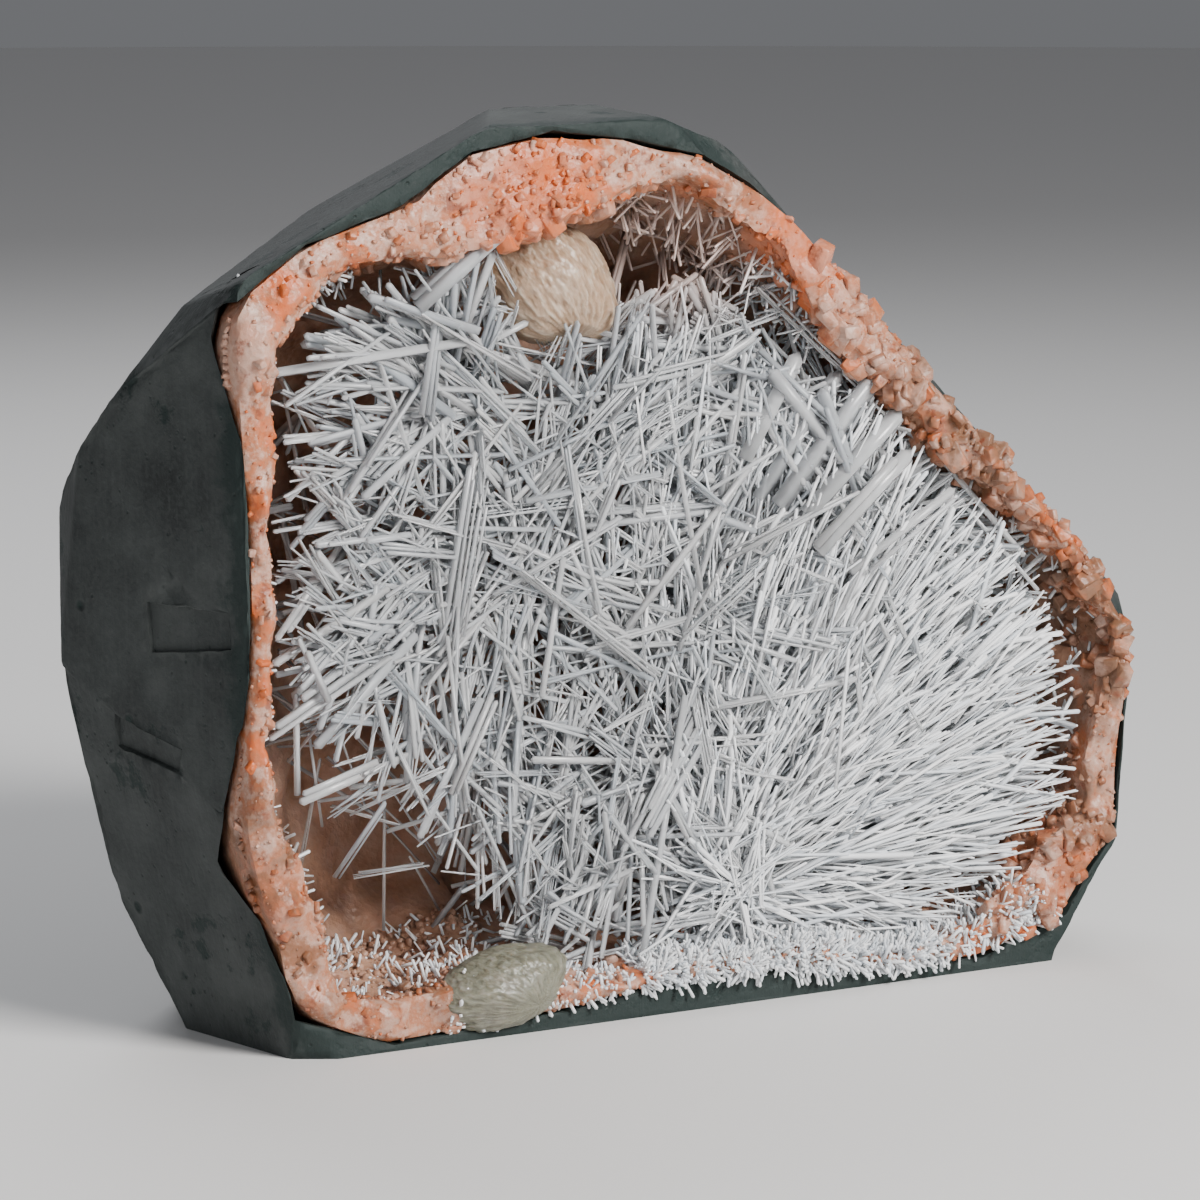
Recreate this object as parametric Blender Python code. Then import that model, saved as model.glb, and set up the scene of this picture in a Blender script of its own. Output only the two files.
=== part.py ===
"""Scolecite geode: the open half of a basalt nodule with a crystal-lined hollow.

X runs to the right along the open face, Y goes back into the rock, Z is up. Lengths are in
millimetres while the shapes are worked out, and in metres once they are objects.
"""
import math
import random
from dataclasses import dataclass

import bmesh
import bpy
from mathutils import Matrix, Vector, noise
from mathutils.bvhtree import BVHTree

MM = 0.001
SEED = 11

# Gap between the rock and the crust, and the least distances to the block's faces and the ground.
GAP = 0.35
SIDE_MARGIN = 0.05
LEAST_HEIGHT = 0.8


@dataclass(frozen=True)
class Facet:
    """A flat face of the rock: its outward normal as two angles, and its reach."""

    turn: float
    lean: float
    reach: float

    def normal(self):
        """Outward unit normal: turn is measured from +X to +Y, lean upwards."""
        turn = math.radians(self.turn)
        lean = math.radians(self.lean)
        flat = math.cos(lean)
        return Vector((flat * math.cos(turn), flat * math.sin(turn), math.sin(lean)))


@dataclass(frozen=True)
class Spall:
    """A shallow flat chip in a face: the point it is nearest to, its size and its turn."""

    middle: Vector
    size: Vector
    turn: float


@dataclass(frozen=True)
class Lump:
    """A ribbed lump of crystals: its middle, radii, number of ribs and the tilt of its axis."""

    middle: Vector
    radii: Vector
    ribs: int
    tilt: float


# The block of rock: a raw cube cut down to faces ground flat, seen from this point inside it.
BLOCK_MIDDLE = Vector((0.0, 36.0, 64.0))
RAW_SIZE = 400.0
CORNER_WELD = 0.4
EDGE_WEAR = 0.9
FLATNESS = 0.01
BLOCK_FACETS = {
    "front": Facet(-90.0, 0.0, 36.0),
    "base": Facet(0.0, -90.0, 64.0),
    "left": Facet(-161.3, -1.2, 78.6),
    "left belly": Facet(166.0, 4.0, 79.6),
    "left upper": Facet(172.0, 34.0, 80.6),
    "left lower": Facet(-168.0, -13.0, 81.2),
    "left foot": Facet(-119.1, -22.2, 79.0),
    "top left": Facet(153.4, 60.0, 64.8),
    "top": Facet(-100.0, 88.0, 68.6),
    "top right cap": Facet(-9.5, 71.3, 64.6),
    "top right": Facet(-5.7, 44.9, 53.4),
    "right shoulder": Facet(-5.3, 49.0, 56.0),
    "right": Facet(-7.9, -3.8, 85.1),
    "right lower": Facet(-7.6, -33.5, 93.8),
    "shoulder chamfer": Facet(-57.9, 28.0, 57.5),
    "back": Facet(88.8, -2.0, 44.1),
    "back left": Facet(132.6, -9.0, 57.6),
    "back left foot": Facet(150.3, -28.0, 78.6),
    "back left upper": Facet(139.0, 38.3, 59.5),
    "back upper": Facet(89.5, 47.3, 43.2),
    "back right upper": Facet(29.6, 45.4, 46.2),
    "back right": Facet(40.3, -3.1, 63.7),
    "back foot": Facet(87.7, -33.3, 57.9),
    "back right foot": Facet(45.0, -35.3, 72.7),
}

# The hollow: a bowl whose mouth follows the outline of the block, less the wall at the mouth.
HOLLOW_MOUTH = Vector((3.0, 0.0, 62.0))
HOLLOW_DEPTH = 42.0
HOLLOW_DROP = 10.0
HOLLOW_FULLNESS = 0.55
HOLLOW_COLUMNS = 36
HOLLOW_ROWS = 6
MOUTH_OVERRUN = 14.0
OUTLINE_DEPTH = 2.0
ROCK_LUMP = 1.1
ROCK_LUMP_SIZE = 13.0

# Wall of rock at the mouth, in mm, with swells (angle, half width in degrees, extra mm).
MOUTH_WALL = 0.4
MOUTH_SWELLS = (
    (95.0, 14.0, 3.2),
    (128.0, 7.0, 3.0),
    (152.0, 6.0, -2.2),
    (176.0, 9.0, 1.2),
    (204.0, 6.0, -4.0),
    (270.0, 34.0, 4.0),
    (318.0, 12.0, 1.6),
    (0.0, 16.0, -0.6),
)

# Thickness of the crust, with swells (angle, half width, extra mm, depth share it fades over).
CRUST_THICKNESS = 4.6
CRUST_SWELLS = (
    (117.0, 17.0, 9.5, 0.55),
    (150.0, 10.0, 2.5, 0.5),
    (58.0, 16.0, 4.0, 0.4),
    (24.0, 14.0, 3.0, 0.5),
    (322.0, 10.0, 6.0, 0.4),
    (212.0, 12.0, 3.5, 0.8),
    (236.0, 9.0, 5.0, 0.9),
)
CRUST_LUMP = 2.6
CRUST_LUMP_SIZE = 9.0
EDGE_SHARE = (0.032, 0.022)
EDGE_RISE = (1.0, 1.6)
EDGE_LUMP_SIZE = 8.0

# The dome of dense needles in the hollow, which the longer needles stand out of: its top and its reach.
NEEDLE_MASS_MIDDLE = Vector((24.0, 10.0, 45.0))
NEEDLE_MASS_RADII = Vector((52.0, 24.0, 44.0))
NEEDLE_MASS_LUMP = 2.2
NEEDLE_MASS_LUMP_SIZE = 12.0
NEEDLE_MASS_REACH = 24.0
NEEDLE_MASS_START = 0.55
NEEDLE_MASS_LEAN = 0.30
NEEDLE_MASS_CLEAR = 8.5
NEEDLE_MASS_LOOSENESS = 0.55

# Blocky crystals fused to the crust round the mouth.
BLOCK_CRYSTALS = 104
FRONT_CRYSTAL_SHARE = 0.62
BLOCK_CRYSTAL_SIZE = (2.8, 6.2)
CRYSTAL_WIDTH = 0.8
CRYSTAL_THICKNESS = (0.55, 0.95)
CRYSTAL_ROOM = 0.60
FRONT_CRYSTAL_DEPTHS = (-0.6, 2.2)

# Shallow pits and flat spalls in the ground faces, away from the mouth and the base.
PITS = 17
PIT_RADIUS = (1.3, 2.6)
PIT_TURNS = (20.0, 250.0)
PIT_RISES = (-38.0, 62.0)
PIT_LIFT = 0.45
PIT_LEAST_Y = 7.0
PIT_LEAST_Z = 6.0
SPALLS = (
    Spall(Vector((-76.0, 11.0, 61.5)), Vector((16.0, 7.0, 8.0)), 4.0),
    Spall(Vector((-79.5, 20.0, 43.0)), Vector((14.0, 5.0, 8.0)), -12.0),
)
SPALL_DEPTH = 0.9
SPALL_TAPER = 0.7

# The two stilbite lumps.
UPPER_STILBITE = Lump(Vector((-16.5, 13.0, 107.5)), Vector((11.6, 10.2, 8.6)), 11, 24.0)
LOWER_STILBITE = Lump(Vector((-30.0, 1.5, 6.9)), Vector((10.4, 6.0, 5.6)), 9, -12.0)
RIB_DEPTH = 0.05
LUMP_SWELLING = 0.10
LUMP_ROWS = 6

# Needle sprays: square needles rooted in the crust, past a line round the bowl.
ROOT_DEPTH = 1.0
ROOT_CLEAR = 4.5
ROOTS_START = 0.36
ROOTS_CROWDING = 0.45
ROOTS_START_SWELLS = (
    (270.0, 42.0, -0.30),
    (110.0, 26.0, 0.14),
    (215.0, 22.0, 0.12),
)
NEEDLES = 238
NEEDLE_TRIES = 14000
NEEDLE_WIDTH = (1.0, 1.5)
NEEDLE_LENGTH = (19.0, 33.0)
LEAST_LENGTH_SHARE = 0.7
NEEDLE_MOUTH_LIMIT = -1.0
LEAST_LIFT = 0.30
TIP_SLANT = 0.7
LOOSENESS = Vector((1.0, 0.55, 1.0))
NET_LEAN = -0.75
NET_LOOSENESS = 0.75

# The spray on the right spreads from a focus: its reach, its left edge and its directions.
FAN_FOCUS = Vector((14.0, 0.0, 8.0))
FAN_REACH = 62.0
FAN_EDGE = -2.0
FAN_SPREAD = 1.05
FAN_LEAN = -0.70
FAN_LOOSENESS = 0.25
FAN_THINNING = 0.3

# How needles keep clear of the crust, in steps along them, and how they pass and cross each other.
NEEDLE_ROOM = 0.5
CHECK_STEP = 1.5
MOST_CROSSINGS = 1
PASSING_ROOM = 1.55
CROSSING_DEPTH = 0.45
CROSSING_COSINE = 0.80
CROSSING_END = 0.9

# Room in front of the needles, inside the mouth: least and greatest corner.
FREE_SPACE = (Vector((-48.0, 0.8, 42.0)), Vector((14.0, 6.2, 94.0)))

MATERIALS = {
    "basalt": ((0.045, 0.052, 0.052, 1.0), 0.75),
    "zeolite crystals": ((0.72, 0.58, 0.52, 1.0), 0.35),
}

# A coffin-shaped crystal of unit size, as corners, and the faces of any six-sided box.
COFFIN_TOP = (0.36, 0.42)
COFFIN_FOOT = (0.5, 0.5)
COFFIN = [
    Vector((x * half_x, y * half_y, height))
    for height, (half_x, half_y) in ((-0.5, COFFIN_FOOT), (0.5, COFFIN_TOP))
    for x, y in ((-1.0, -1.0), (1.0, -1.0), (1.0, 1.0), (-1.0, 1.0))
]
BOX_FACES = ((3, 2, 1, 0), (4, 5, 6, 7), (0, 1, 5, 4), (1, 2, 6, 5), (2, 3, 7, 6), (3, 0, 4, 7))


def clear_scene():
    """Removes every object of the open file."""
    for item in list(bpy.data.objects):
        bpy.data.objects.remove(item, do_unlink=True)


def make_material(name):
    """Gives a plain Principled material with the colour and roughness of the table."""
    colour, roughness = MATERIALS[name]
    material = bpy.data.materials.new(name)
    material.use_nodes = True
    shader = material.node_tree.nodes["Principled BSDF"]
    shader.inputs["Base Color"].default_value = colour
    shader.inputs["Roughness"].default_value = roughness
    shader.inputs["Metallic"].default_value = 0.0
    material.diffuse_color = colour
    return material


def make_object(name, mesh_data, material_name=None):
    """Turns a bmesh in millimetres into an object in metres, and frees the bmesh."""
    bmesh.ops.recalc_face_normals(mesh_data, faces=mesh_data.faces)
    bmesh.ops.scale(mesh_data, vec=(MM, MM, MM), verts=mesh_data.verts)
    mesh = bpy.data.meshes.new(name)
    mesh_data.to_mesh(mesh)
    mesh_data.free()
    result = bpy.data.objects.new(name, mesh)
    bpy.context.scene.collection.objects.link(result)
    if material_name:
        mesh.materials.append(make_material(material_name))
    return result


def carve(target, tool, operation, overlaps=False):
    """Cuts, joins or keeps the common part of two objects, and removes the tool."""
    boolean = target.modifiers.new(operation.lower(), "BOOLEAN")
    boolean.operation = operation
    boolean.solver = "EXACT"
    boolean.use_self = overlaps
    boolean.object = tool
    evaluated = target.evaluated_get(bpy.context.evaluated_depsgraph_get())
    carved = bpy.data.meshes.new_from_object(evaluated)
    target.modifiers.clear()
    target.data = carved
    bpy.data.objects.remove(tool, do_unlink=True)
    tidy(target)


def tidy(target):
    """Drops the needless edges that a cut leaves on flat faces, as long as the mesh stays closed."""
    for weld, flatness in ((0.002, 0.2), (0.0005, 0.05), (0.0, 0.0)):
        mesh_data = bmesh.new()
        mesh_data.from_mesh(target.data)
        if weld:
            bmesh.ops.remove_doubles(mesh_data, verts=mesh_data.verts, dist=weld * MM)
            bmesh.ops.dissolve_limit(
                mesh_data,
                angle_limit=math.radians(flatness),
                verts=mesh_data.verts,
                edges=mesh_data.edges,
            )
        bmesh.ops.triangulate(mesh_data, faces=mesh_data.faces)
        closed = all(len(edge.link_faces) == 2 for edge in mesh_data.edges)
        if closed or not weld:
            mesh_data.to_mesh(target.data)
        mesh_data.free()
        if closed:
            return


def largest_body(target):
    """Keeps the largest joined piece of a mesh and removes loose slivers."""
    mesh_data = bmesh.new()
    mesh_data.from_mesh(target.data)
    unseen = set(mesh_data.verts)
    bodies = []
    while unseen:
        queue = [unseen.pop()]
        body = list(queue)
        while queue:
            for edge in queue.pop().link_edges:
                for vertex in edge.verts:
                    if vertex in unseen:
                        unseen.remove(vertex)
                        queue.append(vertex)
                        body.append(vertex)
        bodies.append(body)
    bodies.sort(key=len)
    for body in bodies[:-1]:
        bmesh.ops.delete(mesh_data, geom=body, context="VERTS")
    mesh_data.to_mesh(target.data)
    mesh_data.free()


def facet_block():
    """Cuts a cube down to the ground facets and wears its edges, but not those of base and mouth."""
    block = bmesh.new()
    bmesh.ops.create_cube(block, size=RAW_SIZE)
    bmesh.ops.translate(block, vec=BLOCK_MIDDLE, verts=block.verts)
    for facet in BLOCK_FACETS.values():
        normal = facet.normal()
        cut = bmesh.ops.bisect_plane(
            block,
            geom=block.verts[:] + block.edges[:] + block.faces[:],
            plane_co=BLOCK_MIDDLE + normal * facet.reach,
            plane_no=normal,
            clear_outer=True,
        )
        rim = [item for item in cut["geom_cut"] if isinstance(item, bmesh.types.BMEdge)]
        if rim:
            bmesh.ops.edgeloop_fill(block, edges=rim)
    bmesh.ops.remove_doubles(block, verts=block.verts, dist=CORNER_WELD)
    worn = []
    for edge in block.edges:
        highest = max(vertex.co.z for vertex in edge.verts)
        deepest = max(vertex.co.y for vertex in edge.verts)
        if min(highest, deepest) > FLATNESS:
            worn.append(edge)
    bmesh.ops.bevel(block, geom=worn, offset=EDGE_WEAR, segments=1, affect="EDGES", clamp_overlap=True)
    return block


def swell(angle, bumps):
    """Adds up bell-shaped bumps (middle, half width, amount) at an angle in degrees."""
    total = 0.0
    for middle, half_width, amount in bumps:
        away = (angle - middle + 180.0) % 360.0 - 180.0
        total += amount * math.exp(-((away / half_width) ** 2))
    return total


def outline_radius(angle):
    """Distance from the middle of the mouth to the block's side faces at an angle."""
    ray = Vector((math.cos(math.radians(angle)), 0.0, math.sin(math.radians(angle))))
    start = HOLLOW_MOUTH + Vector((0.0, OUTLINE_DEPTH, 0.0)) - BLOCK_MIDDLE
    reach = 200.0
    for name, facet in BLOCK_FACETS.items():
        normal = facet.normal()
        if name in ("front", "shoulder chamfer") or normal.dot(ray) < 0.2:
            continue
        reach = min(reach, (facet.reach - normal.dot(start)) / normal.dot(ray))
    return reach


def edge_share(angle):
    """Share of the bowl at which the crust's uneven front edge lies, at an angle."""
    place = Vector((math.cos(math.radians(angle)), math.sin(math.radians(angle)), 0.3)) * 7.0
    return EDGE_SHARE[0] + EDGE_SHARE[1] * noise.noise(place)


def bowl_point(angle, share, inset, lump, lump_size):
    """A point of a bowl-shaped surface inside the block.

    angle is in degrees round the mouth, share runs from 0 at the mouth to 1 at the deepest
    point, and inset moves the surface inwards. Shares below 0 lie in front of the mouth.
    """
    radius = outline_radius(angle) - MOUTH_WALL - swell(angle, MOUTH_SWELLS) - inset
    if share <= 0.0:
        sine, cosine, depth = 0.0, 1.0, share * MOUTH_OVERRUN
    else:
        sine = math.sin(share * math.pi / 2.0)
        cosine = math.cos(share * math.pi / 2.0) ** HOLLOW_FULLNESS
        depth = sine * (HOLLOW_DEPTH - inset)
    middle = HOLLOW_MOUTH + Vector((0.0, 0.0, -HOLLOW_DROP * sine * sine))
    ray = Vector((math.cos(math.radians(angle)), 0.0, math.sin(math.radians(angle))))
    point = middle + ray * (radius * cosine)
    point.y = depth
    shift = noise.noise(point / lump_size) * lump
    away = point - middle
    if share <= 0.0:
        away.y = 0.0
    return point + away.normalized() * shift


def crust_inset(angle, share):
    """Thickness of the crust at a place on the bowl."""
    extra = 0.0
    for middle, half_width, amount, fade in CRUST_SWELLS:
        strength = max(0.0, 1.0 - max(share, 0.0) / fade)
        extra += swell(angle, ((middle, half_width, amount),)) * strength
    return CRUST_THICKNESS + extra


def rock_wall_point(angle, share, clearance):
    """A point on the wall of the hollow in the rock, moved inwards by a clearance."""
    return bowl_point(angle, share, clearance, ROCK_LUMP, ROCK_LUMP_SIZE)


def crust_wall_point(angle, share, clearance):
    """A point on the free surface of the crust, moved inwards by a clearance."""
    inset = crust_inset(angle, share) + clearance
    point = bowl_point(angle, share, inset, CRUST_LUMP, CRUST_LUMP_SIZE)
    point.y = min(point.y, needle_mass_depth(point) - clearance)
    return point


def needle_mass_depth(point):
    """How deep the dome of dense needles lies behind the mouth at a place."""
    across = (point.x - NEEDLE_MASS_MIDDLE.x) / NEEDLE_MASS_RADII.x
    up = (point.z - NEEDLE_MASS_MIDDLE.z) / NEEDLE_MASS_RADII.z
    lump = NEEDLE_MASS_LUMP * noise.noise(point / NEEDLE_MASS_LUMP_SIZE)
    return NEEDLE_MASS_MIDDLE.y + NEEDLE_MASS_RADII.y * (across * across + up * up) + lump


def bowl_rings(surface, clearance):
    """Rings of points on a bowl, from its front edge to its last ring before the deepest point.

    Each ring is turned half a step against the one before.
    """
    rings = []
    for row in range(HOLLOW_ROWS):
        ring = []
        for column in range(HOLLOW_COLUMNS):
            angle = 360.0 * (column + 0.5 * (row % 2)) / HOLLOW_COLUMNS
            share = edge_share(angle) if row == 0 else row / HOLLOW_ROWS
            ring.append(surface(angle, share, clearance))
        rings.append(ring)
    return rings


def add_rings(mesh_data, rings):
    """Adds rings of points and joins each one to the next."""
    made = [[mesh_data.verts.new(point) for point in ring] for ring in rings]
    for number in range(len(made) - 1):
        zigzag(mesh_data, made[number], made[number + 1], number % 2)
    return made


def close_ring(mesh_data, ring, point):
    """Closes a ring with triangles that meet in a point."""
    end = mesh_data.verts.new(point)
    for index, vertex in enumerate(ring):
        mesh_data.faces.new((vertex, ring[(index + 1) % len(ring)], end))


def rock_hollow():
    """The cutter for the hollow in the rock: the bowl, run on past the mouth and capped flat."""
    cutter = bmesh.new()
    rings = add_rings(cutter, bowl_rings(rock_wall_point, 0.0))
    close_ring(cutter, rings[-1], rock_wall_point(0.0, 1.0, 0.0))
    front = []
    for vertex in rings[0]:
        front.append(cutter.verts.new((vertex.co.x, -MOUTH_OVERRUN, vertex.co.z)))
    for index, vertex in enumerate(rings[0]):
        after = (index + 1) % len(front)
        cutter.faces.new((vertex, rings[0][after], front[after], front[index]))
    cutter.faces.new(front)
    return cutter


def inside_block(point):
    """The point, or where it lies past a side face of the block, the nearest point inside."""
    for name, facet in BLOCK_FACETS.items():
        normal = facet.normal()
        past = (point - BLOCK_MIDDLE).dot(normal) - facet.reach + SIDE_MARGIN
        if past > 0.0 and name != "front":
            point = point - normal * past
    return point


def lining():
    """The lining of the hollow: a closed bowl-shaped wall with an uneven front edge."""
    crust = bmesh.new()
    outer_rings = [[inside_block(point) for point in ring] for ring in bowl_rings(rock_wall_point, GAP)]
    inner_rings = bowl_rings(crust_wall_point, 0.0)
    outer = add_rings(crust, outer_rings)
    inner = add_rings(crust, inner_rings)
    close_ring(crust, outer[-1], rock_wall_point(0.0, 1.0, GAP))
    close_ring(crust, inner[-1], crust_wall_point(0.0, 1.0, 0.0))
    edge = []
    for outside, inside in zip(outer_rings[0], inner_rings[0]):
        place = outside.lerp(inside, 0.5)
        rise = noise.noise(place / EDGE_LUMP_SIZE + Vector((5.3, 0.0, 1.7)))
        place.y -= EDGE_RISE[0] + EDGE_RISE[1] * rise
        edge.append(crust.verts.new(place))
    for ring in (outer[0], inner[0]):
        for index, vertex in enumerate(ring):
            after = (index + 1) % len(ring)
            crust.faces.new((vertex, ring[after], edge[index]))
            crust.faces.new((ring[after], edge[after], edge[index]))
    return crust


def zigzag(mesh_data, near, far, odd):
    """Joins two closed rings, turned half a step to each other, with triangles."""
    count = len(near)
    for index in range(count):
        after = (index + 1) % count
        if odd:
            mesh_data.faces.new((near[index], near[after], far[after]))
            mesh_data.faces.new((near[index], far[after], far[index]))
        else:
            mesh_data.faces.new((near[index], near[after], far[index]))
            mesh_data.faces.new((near[after], far[after], far[index]))


def make_rock():
    """The basalt: the worn block less the hollow, the spalls and the pits."""
    rock = make_object("basalt_shell", facet_block(), "basalt")
    carve(rock, make_object("hollow", rock_hollow()), "DIFFERENCE")
    for chip in SPALLS:
        carve(rock, spall(chip), "DIFFERENCE")
    carve(rock, pits(), "DIFFERENCE", overlaps=True)
    seat = bmesh.new()
    add_ribbed_lump(seat, LOWER_STILBITE, GAP)
    carve(rock, make_object("seat", seat), "DIFFERENCE")
    largest_body(rock)
    return rock


def block_surface_point(direction):
    """Where a ray from the middle of the block leaves it, and the facet it leaves by."""
    best = None
    for facet in BLOCK_FACETS.values():
        normal = facet.normal()
        facing = normal.dot(direction)
        if facing > 1e-3 and (best is None or facet.reach / facing < best[0]):
            best = (facet.reach / facing, normal)
    return BLOCK_MIDDLE + direction * best[0], best[1]


def spall(chip):
    """A shallow flat-bottomed chip cutter, laid on the face that its middle points at."""
    point, normal = block_surface_point((chip.middle - BLOCK_MIDDLE).normalized())
    cutter = bmesh.new()
    bmesh.ops.create_cube(cutter, size=1.0)
    bmesh.ops.scale(cutter, vec=chip.size, verts=cutter.verts)
    for vertex in cutter.verts:
        if vertex.co.x > 0.0:
            vertex.co.y *= SPALL_TAPER
    turned = normal.to_track_quat("Z", "Y").to_matrix().to_4x4()
    spin = Matrix.Rotation(math.radians(chip.turn), 4, "Z")
    lift = Matrix.Translation(point + normal * (chip.size.z / 2.0 - SPALL_DEPTH))
    bmesh.ops.transform(cutter, matrix=lift @ turned @ spin, verts=cutter.verts)
    return make_object("spall", cutter)


def pits():
    """Small round cutters that each bite a shallow pit into a face away from the mouth."""
    chance = random.Random(SEED)
    tools = bmesh.new()
    made = 0
    while made < PITS:
        turn = chance.uniform(*PIT_TURNS)
        rise = chance.uniform(*PIT_RISES)
        point, normal = block_surface_point(Facet(turn, rise, 1.0).normal())
        if point.y < PIT_LEAST_Y or point.z < PIT_LEAST_Z:
            continue
        radius = chance.uniform(*PIT_RADIUS)
        ball = bmesh.ops.create_icosphere(tools, subdivisions=1, radius=radius)
        place = Matrix.Translation(point + normal * radius * PIT_LIFT)
        turned = Matrix.Rotation(chance.uniform(0.0, math.tau), 4, normal)
        bmesh.ops.transform(tools, matrix=place @ turned, verts=ball["verts"])
        made += 1
    return make_object("pits", tools)


def make_crust(rock):
    """The crust: the lining with its blocky crystals, stilbite lumps and scolecite needles."""
    crust = make_object("crystal_crust", lining(), "zeolite crystals")
    growths = bmesh.new()
    add_block_crystals(growths, surface_tree(rock))
    for stilbite in (UPPER_STILBITE, LOWER_STILBITE):
        add_ribbed_lump(growths, stilbite, 0.0)
    standing = make_object("standing", growths)
    trees = (surface_tree(crust), surface_tree(standing))
    needles = make_object("needles", needle_prisms(trees))
    growths = bmesh.new()
    growths.from_mesh(standing.data)
    growths.from_mesh(needles.data)
    bmesh.ops.scale(growths, vec=(1.0 / MM, 1.0 / MM, 1.0 / MM), verts=growths.verts)
    bpy.data.objects.remove(standing, do_unlink=True)
    bpy.data.objects.remove(needles, do_unlink=True)
    carve(crust, make_object("growths", growths), "UNION", overlaps=True)
    largest_body(crust)
    return crust


def roots_start(angle):
    """Share of the bowl at which the needles begin to grow, at an angle round the mouth."""
    return ROOTS_START + swell(angle, ROOTS_START_SWELLS)


def crystal_place(chance, size):
    """A place for a blocky crystal: on the crust's front edge, or on its wall near the mouth."""
    angle = chance.uniform(0.0, 360.0)
    if chance.random() < FRONT_CRYSTAL_SHARE:
        inner = crust_wall_point(angle, 0.0, -0.1 * size)
        place = inner.lerp(rock_wall_point(angle, 0.0, 0.75 * size), chance.random())
        place.y = chance.uniform(*FRONT_CRYSTAL_DEPTHS)
        return place
    share = chance.uniform(0.05, max(0.1, roots_start(angle) - 0.10))
    return crust_wall_point(angle, share, -0.15 * size)


def add_block_crystals(crystals, rock_tree):
    """Adds blocky crystals, sunk by about half into the crust and clear of the rock."""
    chance = random.Random(SEED + 1)
    placed = []
    while len(placed) < BLOCK_CRYSTALS:
        size = chance.uniform(*BLOCK_CRYSTAL_SIZE)
        place = crystal_place(chance, size)
        axis = Vector([chance.gauss(0.0, 1.0) for _ in range(3)]).normalized()
        turned = Matrix.Rotation(chance.uniform(0.0, math.tau), 4, axis)
        thickness = size * chance.uniform(*CRYSTAL_THICKNESS)
        shape = Matrix.Diagonal((size, size * CRYSTAL_WIDTH, thickness, 1.0))
        matrix = Matrix.Translation(place) @ turned @ shape
        corners = [matrix @ corner for corner in COFFIN]
        if any((place - other).length < (size + width) * CRYSTAL_ROOM for other, width in placed):
            continue
        middles = [(first + second) / 2.0 for first in corners for second in corners]
        if any(not stands_off(rock_tree, point, GAP) for point in middles):
            continue
        placed.append((place, size))
        made = [crystals.verts.new(corner) for corner in corners]
        for face in BOX_FACES:
            crystals.faces.new([made[index] for index in face])


def stands_off(tree, point, distance):
    """Whether a point is outside a solid, off the ground, and at least a distance away from it."""
    nearest, normal, _, away = tree.find_nearest(point)
    return away > distance and (point - nearest).dot(normal) > 0.0 and point.z > LEAST_HEIGHT


def add_ribbed_lump(mesh_data, stilbite, growth):
    """Adds a closed lump with ribs from pole to pole, like a sheaf of crystals."""
    lump = bmesh.new()
    columns = stilbite.ribs * 2
    rows = LUMP_ROWS
    poles = (lump.verts.new((0.0, 0.0, 1.0)), lump.verts.new((0.0, 0.0, -1.0)))
    rings = []
    for row in range(1, rows):
        polar = math.pi * row / rows
        ring = []
        for column in range(columns):
            around = math.tau * column / columns
            ridge = 1.0 + (RIB_DEPTH if column % 2 else -RIB_DEPTH)
            flat = math.sin(polar) * ridge
            ring.append(lump.verts.new((flat * math.cos(around), flat * math.sin(around), math.cos(polar))))
        rings.append(ring)
    for index in range(columns):
        after = (index + 1) % columns
        lump.faces.new((poles[0], rings[0][index], rings[0][after]))
        lump.faces.new((poles[1], rings[-1][after], rings[-1][index]))
        for near, far in zip(rings, rings[1:]):
            lump.faces.new((near[index], far[index], far[after], near[after]))
    for vertex in lump.verts:
        swelling = 1.0 + LUMP_SWELLING * noise.noise(vertex.co * 1.3 + stilbite.middle)
        radii = stilbite.radii * swelling + Vector((growth, growth, growth))
        vertex.co = vertex.co * radii
    turned = Matrix.Rotation(math.radians(stilbite.tilt), 4, "Y")
    bmesh.ops.transform(lump, matrix=Matrix.Translation(stilbite.middle) @ turned, verts=lump.verts)
    bmesh.ops.triangulate(lump, faces=lump.faces)
    made = {vertex: mesh_data.verts.new(vertex.co) for vertex in lump.verts}
    for face in lump.faces:
        mesh_data.faces.new([made[vertex] for vertex in face.verts])
    lump.free()


def surface_tree(target):
    """A search tree over an object's faces, in millimetres."""
    mesh_data = bmesh.new()
    mesh_data.from_mesh(target.data)
    bmesh.ops.scale(mesh_data, vec=(1.0 / MM, 1.0 / MM, 1.0 / MM), verts=mesh_data.verts)
    tree = BVHTree.FromBMesh(mesh_data)
    mesh_data.free()
    return tree


@dataclass(frozen=True)
class Needle:
    """A square needle: its start, unit direction, length, width, and how far on it stands clear."""

    root: Vector
    direction: Vector
    length: float
    width: float
    clear_from: float


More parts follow.
